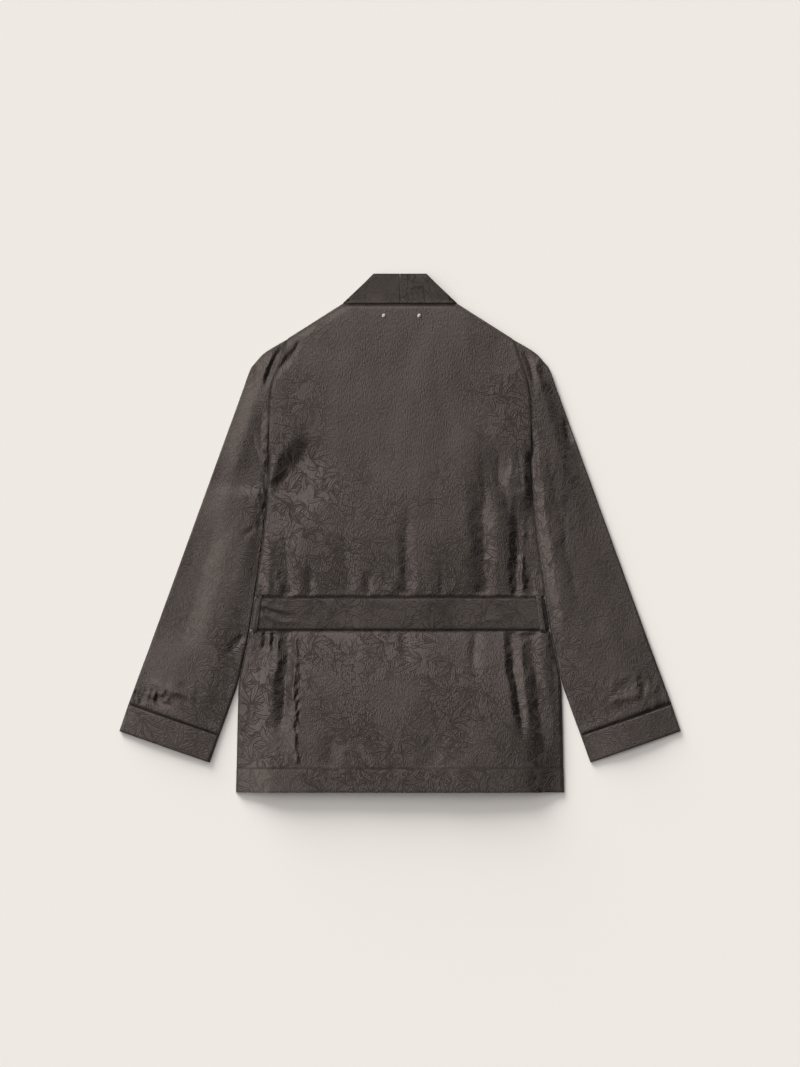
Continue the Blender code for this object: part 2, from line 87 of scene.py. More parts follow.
# How full the laid cloth stands: at its folded edges, a little way in, towards the middle, and at the belt
EDGE_TOP = 2.7
RIM_RISE, RIM_ROUND = 2.6, 4.5
FULLNESS, FULL_REACH = 5.2, 60.0
SLEEVE_FULLNESS = 2.6
MIDDLE_RISE, MIDDLE_REACH = 2.6, 115.0
FULLNESS_AT_BELT = 1.6

# How much more the skirt stands up, and how much it adds to that towards the right
SKIRT_RISE, SKIRT_LEAN = 4.0, 1.4

# Places across the skirt where that lean starts and ends, and where it drops again
LEAN_UP, LEAN_DOWN = (-150.0, 90.0), (75.0, 225.0)

# Lowest place that the trough of a fold comes down to
LOWEST_TOP = 3.0

# Gap left at the body's sides and at the armholes, and how far the belt pulls the sides in
SIDE_GAP = 0.3
BELT_PULL = 4.2

# Depths of the seams, and of the creases where cloth goes in under the belt, the collar and the cuffs
ARMHOLE_DEPTH = 0.45
HEM_SEAM_DEPTH = 0.2
BELT_CREASE = 2.4
COLLAR_CREASE = 2.0
CUFF_CREASE = 2.4

# Half widths of the seams, the creases and the shade along turned edges
ARMHOLE_SEAM = 1.7
HEM_SEAM = 1.6
CREASE = 2.0
EDGE_SHADE = 2.2

# How far the lower edges of the hem and the cuffs turn down, and how deep the rims of back and hem are
LIP_DROP = 1.2
BACK_RIM, HEM_RIM = 1.4, 2.4

# How far from the belt the cloth has bagged out to its full height
BAG_ABOVE = 120.0
BAG_BELOW = 130.0

# Where a panel's crisp edge starts, as a share of its last row
EDGE_SHARE = 0.12

# How far the folds' lines waver, and over what length: widely, and finely across
WAVER, WAVER_SIZE = 3.0, 26.0
FINE_WAVER, FINE_WAVER_SIZE = 2.2, 8.0

# How sharp a fold's middle line is: 0 rounded, 1 creased
CRISPNESS = 0.6

# Line where sleeve and body lie against each other, then the body's own side: height, half width
SIDE_LINE = [
    (HEM_Y, 245.9),
    (HEM_SEAM_Y, 245.2),
    (-300.0, 244.2),
    (-255.0, 243.0),
    (-226.0, 241.9),
    (-199.0, 236.5),
    (-170.0, 230.3),
    (-141.0, 224.5),
    (-113.0, 220.2),
    (-86.0, 216.3),
    (-54.0, 211.8),
    (-24.0, 207.8),
    (8.0, 203.9),
    (40.0, 200.9),
    (70.0, 199.0),
    (96.0, 197.6),
    (UNDERARM_Y, 196.9),
]

# Armhole seam from the underarm to the shoulder: height, half width
ARMHOLE = [
    (UNDERARM_Y, 196.8),
    (125.0, 196.5),
    (140.0, 196.2),
    (160.0, 195.8),
    (180.0, 195.3),
    (200.0, 194.3),
    (YOKE_Y, 191.5),
    (238.0, 187.0),
    (256.0, 181.0),
    (275.0, 174.5),
    (292.0, 168.0),
]
SHOULDER = (168.0, 292.0)

# Upper edge of the back, under the collar and down the shoulder: half width, height
TOP_EDGE = [(0.0, NECK_SEAM_Y), (NECK_CORNER, NECK_SEAM_Y), (NECK_HALF, COLLAR_EDGE_Y), SHOULDER]

# Sleeve sections from the armhole to the cuff seam: outer x, outer y, inner x, inner y
SLEEVE_SECTIONS = [
    (168.0, 292.0, 197.2, UNDERARM_Y),
    (201.0, 272.4, 198.0, 96.0),
    (216.0, 257.5, 199.4, 70.0),
    (225.0, 245.2, 201.3, 40.0),
    (236.7, 213.0, 204.3, 8.0),
    (250.3, 175.5, 208.2, -24.0),
    (264.9, 135.5, 212.2, -54.0),
    (280.6, 92.5, 216.7, -86.0),
    (296.0, 50.0, 220.6, -113.0),
    (311.9, 6.5, 224.9, -141.0),
    (327.9, -37.5, 230.7, -170.0),
    (344.3, -82.5, 236.9, -199.0),
    (360.7, -127.5, 244.2, -229.0),
    (375.6, -168.5, 253.4, -255.0),
    (390.8, -209.5, 262.0, -279.0),
    (407.8, -255.6, 271.0, -303.2),
]
CUFF_END = (421.6, -296.5, 285.5, -344.0)
CUFF_WALL = 1.8
CUFF_WIDTH, CUFF_LENGTH = 144.0, 43.0
CUFF_TURN = 26.0
SLEEVE_LENGTH = 560.0

# Height of the fold at the sleeve's two edges
TUBE_FOLD_Z = 1.35

# Lengths over which the points of a sleeve are spread, along it and across it
SLEEVE_RUN, SLEEVE_SPREAD = 566.0, 150.0

# The sleeve's own directions: towards the cuff, and from the inner to the outer edge
SLEEVE_SLOPE = math.radians(20)
ALONG_SLEEVE = np.array([math.sin(SLEEVE_SLOPE), -math.cos(SLEEVE_SLOPE)])
ACROSS_SLEEVE = np.array([math.cos(SLEEVE_SLOPE), math.sin(SLEEVE_SLOPE)])

# Collar: thickness of its folded cloth, heights of its stand and of its roll
COLLAR_WALL = 1.5
STAND_Z, ROLL_Z = 2.35, 9.4

# Belt loops: thickness, width of each, how far they are sewn down past the belt
LOOP_WALL = 1.2
LOOP_WIDTHS = {"right": 9.0, "left": 5.5}
LOOP_ENDS = np.array([1.6, 3.2, 5.0])

# Studs: share of the solid's radius, sides, and the profile as share of the radius and height
STUD_SHARE = 0.92
STUD_SIDES = 40
STUD_PROFILE = [
    (1.0, 0.0),
    (1.06, 0.3),
    (1.04, 0.7),
    (0.98, 1.0),
    (0.9, 1.25),
    (0.8, 1.4),
    (0.55, 1.52),
    (0.25, 1.6),
]

# Hem stitches: half the row's length and its height over the seam in millimetres, then sizes in metres
STITCH_ROW_HALF = 240.0
STITCH_UP = 2.2
STITCH_PITCH = 0.0032
STITCH_LENGTH = 0.0024
STITCH_THREAD = 0.0004

# Places on the cloth where the pieces are cut, apart, so that they show different flowers
HEM_CUT = np.array([240.0, 530.0])
FRONT_CUT = {"right": 900.0, "left": 1500.0}
SLEEVE_CUT = {"right": 3100.0, "left": 4700.0}
CUFF_CUT = {"right": 6200.0, "left": 7400.0}
COLLAR_CUT = 500.0
BAND_CUT = 2200.0
BELT_CUT = 3100.0
LOOP_CUT = 3600.0

# A fold: places along it, half width at its start and end, rise, share of its length that fades at each end,
# and its lean: above 0 a fold drawn downwards is gradual on the picture's left and steep on its right
Fold = namedtuple("Fold", "path start_width end_width rise start_fade end_fade lean", defaults=(0.0,))

# A crumpled place: middle, half width, half length, height of its creases and how far apart they are
Crumple = namedtuple("Crumple", "x y across along height apart", defaults=(24.0,))

BACK_FOLDS = [
    # From the left armhole towards the middle
    Fold([(-122, 150), (-152, 106), (-192, 56)], 68, 52, -9.4, 0.5, 0.06, -0.52),
    Fold([(-148, 292), (-176, 240)], 6, 8, -1.8, 0.3, 0.4),
    Fold([(-162, 276), (-190, 226)], 6, 8, -1.4, 0.3, 0.4),
    # Gathered into the belt from above, left to right
    Fold([(-196, 10), (-196, -94)], 12, 10, 1.6, 0.5, 0.05),
    Fold([(-176, 20), (-170, -30), (-163, -94)], 20, 17, -4.8, 0.45, 0.03, 0.25),
    Fold([(-136, -40), (-134, -94)], 14, 12, -1.2, 0.6, 0.05),
    Fold([(-84, 40), (-82, -94)], 34, 24, -1.0, 0.5, 0.1),
    Fold([(-50, -50), (-48, -94)], 12, 9, -1.0, 0.6, 0.05),
    Fold([(9, 60), (10, -30), (11, -94)], 18, 14, -2.0, 0.6, 0.03),
    Fold([(62, -30), (64, -94)], 18, 14, -0.8, 0.6, 0.05),
    Fold([(124, 150), (124, 30), (126, -94)], 30, 20, -3.6, 0.5, 0.03, 0.1),
    # Crumpled below the right armhole
    Fold([(140, 150), (152, 70), (172, 0)], 40, 34, -4.6, 0.4, 0.3),
    Fold([(170, 60), (178, 10), (177, -40), (176, -94)], 16, 9, -5.0, 0.4, 0.02, 0.2),
    Fold([(204, 150), (212, 60), (215, -20), (217, -94)], 40, 40, -5.4, 0.4, 0.03, 0.6),
    Fold([(183, -24), (185, -94)], 8, 7, 1.8, 0.2, 0.05),
    Fold([(184, -16), (206, -22)], 5, 5, -3.6, 0.2, 0.1),
    Fold([(182, 2), (202, -4)], 8, 7, 2.0, 0.3, 0.2),
    Fold([(191, 34), (195, -30), (196, -94)], 8, 7, -4.0, 0.3, 0.03, 0.2),
    # Let out below the belt, left to right
    Fold([(-201, -147), (-205, -182)], 7, 7, -5.4, 0.03, 0.5),
    Fold([(-187, -147), (-191, -182)], 7, 7, -5.4, 0.03, 0.5),
    Fold([(-180, -150), (-190, -230)], 8, 14, 1.4, 0.1, 0.5),
    Fold([(-166, -146), (-168, -180), (-173, -250), (-178, -310)], 19, 18, -6.8, 0.02, 0.4, 0.3),
    Fold([(-170, -180), (-177, -250), (-180, -352)], 20, 36, -1.2, 0.4, 0.4, 0.15),
    Fold([(-157, -150), (-158, -250), (-155, -346)], 5, 5, 1.8, 0.03, 0.03),
    Fold([(6, -147), (9, -172), (12, -220)], 12, 14, -1.6, 0.03, 0.75),
    Fold([(112, -147), (113, -190), (112, -230)], 14, 18, -1.8, 0.03, 0.6),
    Fold([(167, -146), (170, -200), (177, -250), (185, -320)], 14, 13, -6.0, 0.02, 0.4, -0.1),
    Fold([(196, -147), (204, -220), (212, -300), (216, -346)], 30, 32, -4.4, 0.03, 0.4, 0.35),
    Fold([(228, -150), (234, -240)], 6, 9, -1.6, 0.04, 0.5),
    # Near the hem
    Fold([(-98, -296), (-106, -352)], 26, 30, -1.0, 0.4, 0.1),
    Fold([(44, -300), (48, -352)], 28, 32, -0.9, 0.4, 0.1),
]

BACK_CRUMPLES = [
    Crumple(176, 60, 34, 90, 0.8),
    Crumple(192, -40, 24, 60, 1.8, 16.0),
    Crumple(-166, -60, 44, 46, 0.8),
    Crumple(-200, 70, 14, 60, 1.0, 12.0),
    Crumple(-205, -190, 40, 60, 1.0, 18.0),
    Crumple(-156, -245, 8, 110, 1.8, 8.0),
    Crumple(196, -190, 40, 80, 0.9),
    Crumple(10, -80, 190, 36, 0.5, 30.0),
    Crumple(0, -330, 260, 60, 0.25),
]

SLEEVE_CRUMPLES = {
    "left": [
        Crumple(-192, 244, 34, 62, 0.6),
        Crumple(-206, 40, 12, 90, 0.9, 12.0),
        Crumple(-252, -176, 40, 50, 0.4),
        Crumple(-372, -246, 40, 16, 2.6, 9.0),
        Crumple(-330, -240, 66, 30, 0.8),
    ],
    "right": [
        Crumple(196, 236, 34, 70, 0.5),
        Crumple(232, 40, 40, 120, 0.35),
        Crumple(346, -236, 66, 34, 0.8, 16.0),
    ],
}

SLEEVE_FOLDS = {
    "left": [
        Fold([(-176, 284), (-190, 254), (-206, 212)], 7, 9, -2.8, 0.25, 0.4),
        Fold([(-190, 276), (-214, 216)], 10, 12, 1.8, 0.3, 0.4),
        # The upper arm sinks to a crease that runs in from the armhole
        Fold([(-198, 82), (-240, 70), (-300, 84)], 52, 44, -4.6, 0.04, 0.6, 0.6),
        Fold([(-206, 196), (-207, 130), (-210, 66)], 26, 28, -4.0, 0.4, 0.3, 0.6),
        Fold([(-216, 10), (-240, -10)], 8, 8, -1.0, 0.2, 0.5),
        # The lower arm lies hollow along its middle
        Fold([(-266, 40), (-292, -40), (-334, -190)], 38, 44, -4.2, 0.3, 0.3, 0.2),
        Fold([(-238, -152), (-262, -186)], 10, 9, -2.0, 0.1, 0.5),
        Fold([(-306, -250), (-344, -236), (-384, -222)], 12, 10, 2.2, 0.4, 0.3),
        Fold([(-336, -262), (-366, -252), (-400, -236)], 6, 7, -3.0, 0.3, 0.05),
    ],
    "right": [
        Fold([(186, 276), (204, 220)], 9, 10, -1.8, 0.3, 0.4),
        Fold([(200, 270), (216, 205)], 12, 13, 1.6, 0.3, 0.4),
        # The arm falls away from its inner edge
        Fold([(204, 150), (224, -20), (252, -200)], 38, 44, 2.4, 0.3, 0.3, -0.7),
        Fold([(222, 130), (244, 0), (276, -140)], 9, 12, -0.6, 0.25, 0.4),
        Fold([(246, 178), (258, 132)], 9, 9, -3.0, 0.4, 0.4),
        Fold([(300, -262), (340, -244), (380, -236)], 14, 12, 0.8, 0.3, 0.3),
    ],
}

BELT_FOLDS = [
    Fold([(-210, -104), (-188, -112), (-150, -119)], 6, 9, 2.0, 0.05, 0.6),
    Fold([(-206, -112), (-186, -119), (-150, -126)], 5, 8, -1.4, 0.05, 0.6),
    Fold([(-210, -124), (-184, -131), (-130, -134)], 6, 9, 1.5, 0.05, 0.6),
    Fold([(-60, -112), (10, -116)], 9, 9, -0.6, 0.4, 0.4),
    Fold([(90, -134), (170, -128)], 9, 9, 0.6, 0.4, 0.4),
]

# Creases of the hidden front side, similar to those of the back but shallow, as it lies on the surface
FRONT_FOLDS = [
    Fold([(-176, -80), (-150, 40)], 14, 24, 1.1, 0.1, 0.5),
    Fold([(-120, -82), (-112, 60)], 12, 26, 1.0, 0.1, 0.5),
    Fold([(140, -82), (118, 90)], 13, 26, 1.1, 0.1, 0.5),
    Fold([(182, -82), (190, 70)], 10, 20, 1.0, 0.1, 0.5),
    Fold([(-168, -162), (-174, -330)], 9, 18, 1.2, 0.1, 0.4),
    Fold([(-112, -162), (-120, -260)], 12, 20, 0.9, 0.1, 0.5),
    Fold([(104, -162), (110, -300)], 12, 22, 1.0, 0.1, 0.5),
    Fold([(176, -162), (184, -330)], 9, 16, 1.2, 0.1, 0.4),
]

# Shares of the half width where the back's deep pleats lie, and half width that sets its count of points
PLEATS = (-0.72, 0.74)
BACK_SPREAD = 235.0

# Strength of the woven figure on the bands, where it hardly shows, and along the sleeves' inner edges
FAINT_FIGURE = 0.7
SLEEVE_FIGURE = {"right": 0.75, "left": 1.0}

# Oval below the neck where the figure fades: middle height, half width and half height, least strength
FAINT_Y = 230.0
FAINT_SIZE = (140.0, 210.0)
FAINTEST = 0.25

# Painted shade: cloth cut across the grain throws back less light, so its colour is darkened by this share
CROSS_GRAIN_SHADE = 0.4

# Sprays from the uppermost down: spacing, reach, breadth of a leaf, leaves in a full turn,
# half angle of the fan, shift. Spacing and reach are shares of the motif spacing
FLOWERS_AND_LEAVES = [
    (1.0, 0.14, 0.8, 5, 9.0, 0.0),
    (1.0, 0.26, 0.7, 6, 9.0, 0.0),
    (0.64, 0.42, 0.22, 9, 1.3, 333.0),
    (0.50, 0.36, 0.22, 8, 1.2, 777.0),
    (0.38, 0.30, 0.24, 7, 1.4, 1234.0),
    (0.30, 0.25, 0.24, 6, 1.8, 2345.0),
    (0.26, 0.2, 0.24, 6, 2.0, 3456.0),
]

# Bright side of the sky, to the upper left, and the shares of the way over to it where it stops changing
SKY_SIDE = (-0.8, 0.6, 0.0)
SKY_ENDS = (-0.31, 0.42)

# Heights in the sky between which it brightens, and its share of strength at both
HORIZON_ENDS = (0.1, 0.8)
HORIZON_SHARES = (0.12, 1.0)

# Key light: turned this far from straight up in the picture towards the left, height and width of its disc
KEY_TURN, KEY_HEIGHT, KEY_WIDTH = math.radians(30), math.radians(10), math.radians(38)
WARM_WHITE = (1.0, 0.985, 0.965)

# Half the floor's side, and how far it lies below the jacket, in metres
FLOOR_HALF = 6.0
FLOOR_DROP = 0.0002

# The picture's longer side on the floor and its shift in metres, and the sensor in millimetres
VIEW_SPAN = 1.6005
VIEW_SHIFT = -0.0005
SENSOR = 36.0

# Colours as sRGB hex values
SATIN_HEX = "#1c1917"
FIGURE_HEX = "#302a27"
THREAD_HEX = "#2b2623"
PALE_THREAD_HEX = "#4a423d"
STEEL_HEX = "#c9c4bd"
FLOOR_HEX = "#ece8e4"


def linear(hex_colour):
    """An sRGB hex value as linear red, green, blue and alpha."""
    parts = [int(hex_colour[i:i + 2], 16) / 255 for i in (1, 3, 5)]
    return [c / 12.92 if c <= 0.04045 else ((c + 0.055) / 1.055) ** 2.4 for c in parts] + [1.0]


def colour_setting(name, description, hex_colour):
    """A colour that starts at an sRGB hex value."""
    return FloatVectorProperty(
        name=name, description=description, subtype="COLOR", size=4, default=linear(hex_colour)
    )


def number_setting(name, description, value):
    """A plain number."""
    return FloatProperty(name=name, description=description, default=value)


def length_setting(name, description, metres):
    """A length that starts at a size in metres."""
    return FloatProperty(name=name, description=description, subtype="DISTANCE", default=metres)


class JacketClothSettings(PropertyGroup):
    """Colours and weave of the jacket's cloth."""

    satin: colour_setting("Satin", "Colour of the satin ground", SATIN_HEX)
    figure: colour_setting("Figure", "Colour of the woven leaf lines", FIGURE_HEX)
    motif_spacing: length_setting("Motif spacing", "Distance between woven flowers", 0.112)


class JacketFoldSettings(PropertyGroup):
    """How deep the laid cloth folds."""

    depth: number_setting("Fold depth", "Scale of every fold's rise", 1.2)
    ripple: length_setting("Ripple", "Height of the soft unevenness between folds", 0.0008)
    grid: length_setting("Grid", "Spacing of the cloth's points", 0.0023)


class JacketStageSettings(PropertyGroup):
    """Floor, light and view."""

    floor: colour_setting("Floor", "Colour of the floor", FLOOR_HEX)
    key_light: number_setting("Key light", "Strength of the low key light", 8.1)
    sky_light: number_setting("Sky light", "Strength of the sky straight above", 0.645)
    sky_slope: number_setting("Sky slope", "How fast the sky brightens towards its bright side", 3.0)
    view_height: length_setting("View height", "Height of the camera above the floor", 6.0)


def smooth(t):
    """An easy rise from 0 at 0 to 1 at 1, held beyond both."""
    t = np.clip(t, 0.0, 1.0)
    return t * t * (3 - 2 * t)


def plateau(distance, flat, end):
    """1 up to the distance flat, easing to 0 at the distance end."""
    return 1.0 - smooth((distance - flat) / (end - flat))


def bell(distance, width):
    """1 at a distance of 0, falling off to both sides."""
    return np.exp(-((distance / width) ** 2))


def lerp(a, b, t):
    """The value a share t of the way from a to b."""
    return a + (b - a) * t


def run_along(points):
    """Length of the way to each of a row of points."""
    return np.concatenate([[0.0], np.cumsum(np.linalg.norm(np.diff(points, axis=0), axis=1))])


def square_to(points):
    """Directions of length 1 to the left of a row of points."""
    run = np.gradient(points, axis=0)
    out = np.column_stack([-run[:, 1], run[:, 0]])
    return out / np.linalg.norm(out, axis=1)[:, None]


def through(table, at):
    """A smooth curve through a two-column table."""
    xs, ys = np.array(table, dtype=float).T
    slopes = np.gradient(ys, xs)
    at = np.asarray(at, dtype=float)
    k = np.clip(np.searchsorted(xs, at) - 1, 0, len(xs) - 2)
    span = xs[k + 1] - xs[k]
    t = np.clip((at - xs[k]) / span, 0.0, 1.0)
    a, b = ys[k], ys[k + 1]
    rise = slopes[k] * span * t * (1 - t) ** 2 - slopes[k + 1] * span * t * t * (1 - t)
    return a + (b - a) * t * t * (3 - 2 * t) + rise


def to_path(x, y, path):
    """Distance of each place to a path, its share of the way along, and whether it lies to the right."""
    points = np.array(path, dtype=float)
    starts = run_along(points)
    lengths = np.diff(starts)
    best = np.full(np.shape(x), np.inf)
    share = np.zeros(np.shape(x))
    right = np.zeros(np.shape(x), dtype=bool)
    for (ax, ay), (bx, by), length, start in zip(points, points[1:], lengths, starts):
        t = np.clip(((x - ax) * (bx - ax) + (y - ay) * (by - ay)) / length ** 2, 0.0, 1.0)
        distance = np.hypot(x - ax - (bx - ax) * t, y - ay - (by - ay) * t)
        closer = distance < best
        best = np.where(closer, distance, best)
        share = np.where(closer, (start + t * length) / starts[-1], share)
        right = np.where(closer, (bx - ax) * (y - ay) - (by - ay) * (x - ax) < 0, right)
    return best, share, right


def wavy(x, y, size, seed):
    """Smooth noise about zero at each place, with features of about the given size in millimetres."""
    spots = zip(np.ravel(x) / size, np.ravel(y) / size)
    return np.reshape([noise.noise(Vector((a, b, seed))) for a, b in spots], np.shape(x))


def fold_rise(x, y, folds):
    """Height that the folds add at each place; their lines waver a little."""
    total = np.zeros(np.shape(x))
    bent_x = x + WAVER * wavy(x, y, WAVER_SIZE, 1.5) + FINE_WAVER * wavy(x, y, FINE_WAVER_SIZE, 2.5)
    bent_y = y + WAVER * wavy(x, y, WAVER_SIZE, 8.5)
    for fold in folds:
        distance, share, right = to_path(bent_x, bent_y, fold.path)
        leaning = np.where(right, 1.0 + fold.lean, 1.0 - fold.lean)
        width = lerp(fold.start_width, fold.end_width, share) * leaning
        near = 1.0 - np.clip(distance / width, 0.0, 1.0)
        across = lerp(smooth(near), near * near, CRISPNESS)
        ends = smooth(share / fold.start_fade) * smooth((1 - share) / fold.end_fade)
        total += fold.rise * across * ends
    return total * bpy.context.scene.jacket_folds.depth


def ripple(x, y, seed):
    """Soft unevenness of laid satin, in millimetres: wide swells with finer puckers on them."""
    height = bpy.context.scene.jacket_folds.ripple / MM
    return height * (1.6 * wavy(x, y * 0.7, 80.0, seed) + 0.5 * wavy(x, y * 0.6, 27.0, seed + 5.0))


def crumple_rise(x, y, places, seed):
    """Fine sharp creases where the cloth is crumpled."""
    bent = x + 6.0 * wavy(x, y, 40.0, seed + 9.0)
    total = np.zeros(np.shape(x))
    for place in places:
        away = np.hypot((x - place.x) / place.across, (y - place.y) / place.along)
        near = away < 1.0
        long = 3.0 * np.abs(wavy(bent[near], y[near] * 0.45, place.apart, seed))
        fine = 1.2 * np.abs(wavy(bent[near], y[near] * 0.55, place.apart * 0.46, seed + 3.0))
        total[near] += place.height * plateau(away[near], 0.25, 1.0) * (1.0 - long - fine)
    return total * bpy.context.scene.jacket_folds.depth


def rim_round(distance):
    """Share of the rim's height at a distance from a folded edge: a quarter ellipse."""
    t = np.clip(distance / RIM_ROUND, 0.0, 1.0)
    return np.sqrt(1.0 - (1.0 - t) ** 2)


def pressed(top, moved):
    """The top with its folds; troughs ease off before they reach the cloth below."""
    room = np.maximum(top - LOWEST_TOP, 0.3)
    return top + np.where(moved < 0, -room * np.tanh(-moved / room), moved)


def belt_hold(y):
    """1 where the belt holds the cloth down, 0 away from it."""
    return plateau(np.abs(y - WAIST_Y), BELT_WIDTH / 2 + 0.6, BELT_WIDTH / 2 + 20.0)


def belt_lift(x, y):
    """How far the belt's front run lifts the cloth above it."""
    lap = plateau(np.abs(x), LAP_FLAT, LAP_END)
    near = plateau(np.abs(y - WAIST_Y), BELT_WIDTH / 2 + 4.0, BELT_WIDTH / 2 + 20.0)
    return (BELT_WALL + AIR) * (1.0 + lap) * near


def body_half(y):
    """Half width of the body, pulled in a little where the belt goes round it."""
    pulled = plateau(np.abs(y - WAIST_Y), BELT_WIDTH / 2 + 0.4, BELT_WIDTH / 2 + 3.4)
    return through(SIDE_LINE, y) - SIDE_GAP - BELT_PULL * pulled


def waist_half():
    """Half width of the body under the belt."""
    return float(through(SIDE_LINE, WAIST_Y)) - SIDE_GAP - BELT_PULL


def back_edge_away(x, y):
    """Distance to the back's nearest folded edge, at a side or a shoulder."""
    to_underarm = np.hypot(ARMHOLE[0][1] - np.abs(x), y - UNDERARM_Y)
    side = np.where(y < UNDERARM_Y, body_half(y) - np.abs(x), to_underarm)
    return np.minimum(to_path(np.abs(x), y, TOP_EDGE)[0], np.maximum(side, 0.0))


def armhole_ditch(x, y):
    """1 in the seam of the armhole, 0 a few millimetres from it."""
    away = np.abs(through(ARMHOLE, y) - np.abs(x))
    return bell(away, ARMHOLE_SEAM) * smooth((y - UNDERARM_Y + 4.0) / 8.0)


def hem_ditch(y):
    """1 in the seam of the hem band."""
    return bell(y - HEM_SEAM_Y, HEM_SEAM)


def belt_ditch(y):
    """1 in the crease where the cloth goes in under the belt."""
    return bell(np.abs(y - WAIST_Y) - BELT_WIDTH / 2 - 1.0, CREASE)


def turned_edge_shade(away):
    """1 at a turned edge, where the cloth bends out of the light: the share of painted shade there."""
    return bell(away, EDGE_SHADE)


def collar_ditch(x, y):
    """1 in the crease under the collar's lower edge."""
    under = plateau(np.abs(x), NECK_HALF - 4.0, NECK_HALF)
    return bell(y - COLLAR_EDGE_Y + 1.6, CREASE) * under


def back_top(x, y, with_ripple=True):
    """Upper side of the back and its hem band, in millimetres above the floor."""
    away = back_edge_away(x, y)
    crown = rim_round(away)
    from_belt = np.abs(y - WAIST_Y) - BELT_WIDTH / 2
    apart = np.clip(from_belt / np.where(y > WAIST_Y, BAG_ABOVE, BAG_BELOW), 0.0, 1.0)
    bag = 1.0 - (1.0 - apart) ** 2
    lifted = (BELT_WALL + AIR) * (1.0 + plateau(np.abs(x), LAP_FLAT, LAP_END)) + FULLNESS_AT_BELT * crown
    # The skirt leans up towards the right, where it drops again
    leaning = SKIRT_LEAN * (1.0 - plateau(x, *LEAN_UP)) * plateau(x, *LEAN_DOWN)
    inwards = FULLNESS + (SKIRT_RISE + leaning) * (y < WAIST_Y)
    # Towards the underarm the cloth goes on into the sleeve and stays full up to its edge
    deep = away + FULL_REACH * smooth((y - 10.0) / 80.0)
    rise = inwards * smooth(deep / FULL_REACH) + MIDDLE_RISE * smooth(deep / MIDDLE_REACH)
    full = RIM_RISE * crown + rise * rim_round(away / 3.3)
    top = EDGE_TOP + lerp(lifted, full, bag)
    if with_ripple:
        troughs = fold_rise(x, y, [fold for fold in BACK_FOLDS if fold.rise < 0])
        ridges = fold_rise(x, y, [fold for fold in BACK_FOLDS if fold.rise > 0])
        creased = crumple_rise(x, y, BACK_CRUMPLES, 4.0) + ripple(x, y, 3.0)
        moved = troughs * smooth(from_belt / 4.0) + ridges * smooth(from_belt / 22.0)
        moved = moved + creased * smooth(from_belt / 9.0)
        top = pressed(top, moved * crown)
    seams = ARMHOLE_DEPTH * armhole_ditch(x, y) * crown + HEM_SEAM_DEPTH * hem_ditch(y)
    creases = BELT_CREASE * belt_ditch(y) * crown + COLLAR_CREASE * collar_ditch(x, y)
    return top - seams - creases


def spaced(start, stop, step):
    """Even places from start to stop, about a step apart."""
    return np.linspace(start, stop, max(2, int(round(abs(stop - start) / step)) + 1))


def closer_near(places, reach, half, step):
    """Shares from -1 to 1 with points twice as close within reach of the places."""
    fine = np.linspace(-1.0, 1.0, 4001)
    density = np.ones_like(fine)
    for place in places:
        density += bell(fine - place, reach)
    along = np.concatenate([[0.0], np.cumsum((density[1:] + density[:-1]) / 2)])
    along *= 2.0 / (len(fine) - 1) * half / step
    count = int(round(along[-1]))
    return np.interp(np.linspace(0.0, along[-1], count), along, fine)


def cloth_object(name, grid, weave, material, around=False, capped=False, painted_shade=0.0, bloom=1.0, flip=False):
    """A mesh from a grid of points in millimetres, with its weave map in metres.

    The painted shade values are 1 in seams, creases and at turned edges, where they darken the cloth's
    colour, and the bloom values give the figure's strength.
    A grid that goes around has its last column joined to its first, and its weave map has one more column.
    """
    rows, columns = grid.shape[:2]
    index = np.arange(rows * columns).reshape(rows, columns)
    if around:
        index = np.concatenate([index, index[:, :1]], axis=1)
    corners = (index[:-1, :-1], index[:-1, 1:], index[1:, 1:], index[1:, :-1])
    maps = (weave[:-1, :-1], weave[:-1, 1:], weave[1:, 1:], weave[1:, :-1])
    if flip:
        corners, maps = corners[::-1], maps[::-1]
    faces = np.stack(corners, axis=-1).reshape(-1, 4).tolist()
    coordinates = np.stack(maps, axis=-2).reshape(-1, 2)
    if capped:
        for end, turn in ((0, 1), (-1, -1)):
            faces.append(index[end, :-1][::turn].tolist())
            coordinates = np.concatenate([coordinates, weave[end, :-1][::turn]])
    mesh = bpy.data.meshes.new(name)
    mesh.from_pydata((grid.reshape(-1, 3) * MM).tolist(), [], faces)
    layer = mesh.uv_layers.new(name="weave")
    layer.data.foreach_set("uv", coordinates.astype(np.float32).ravel())
    for title, values in (("painted_shade", painted_shade), ("bloom", bloom)):
        kept = mesh.attributes.new(title, "FLOAT", "POINT")
        spread = np.broadcast_to(values, (rows, columns)).astype(np.float32)
        kept.data.foreach_set("value", spread.ravel())
    mesh.shade_smooth()
    if capped:
        right_way_out(mesh)
    return linked(mesh, material)


def linked(mesh, material=None):
    """An object of the mesh's name, linked to the scene."""
    if material:
        mesh.materials.append(material)
    made = bpy.data.objects.new(mesh.name, mesh)
    bpy.context.scene.collection.objects.link(made)
    return made


def right_way_out(mesh):
    """Turns a closed mesh's faces outwards."""
    builder = bmesh.new()
    builder.from_mesh(mesh)
    bmesh.ops.recalc_face_normals(builder, faces=builder.faces)
    builder.to_mesh(mesh)
    builder.free()


def edged(values):
    """Adds a row and a column close inside each edge of a panel, so that its edges stay crisp."""
    for axis in (0, 1):
        values = np.moveaxis(values, axis, 0)
        near, far = (lerp(values[k], values[n], EDGE_SHARE)[None] for k, n in ((0, 1), (-1, -2)))
        values = np.concatenate([values[:1], near, values[1:-1], far, values[-1:]])
        values = np.moveaxis(values, 0, axis)
    return values


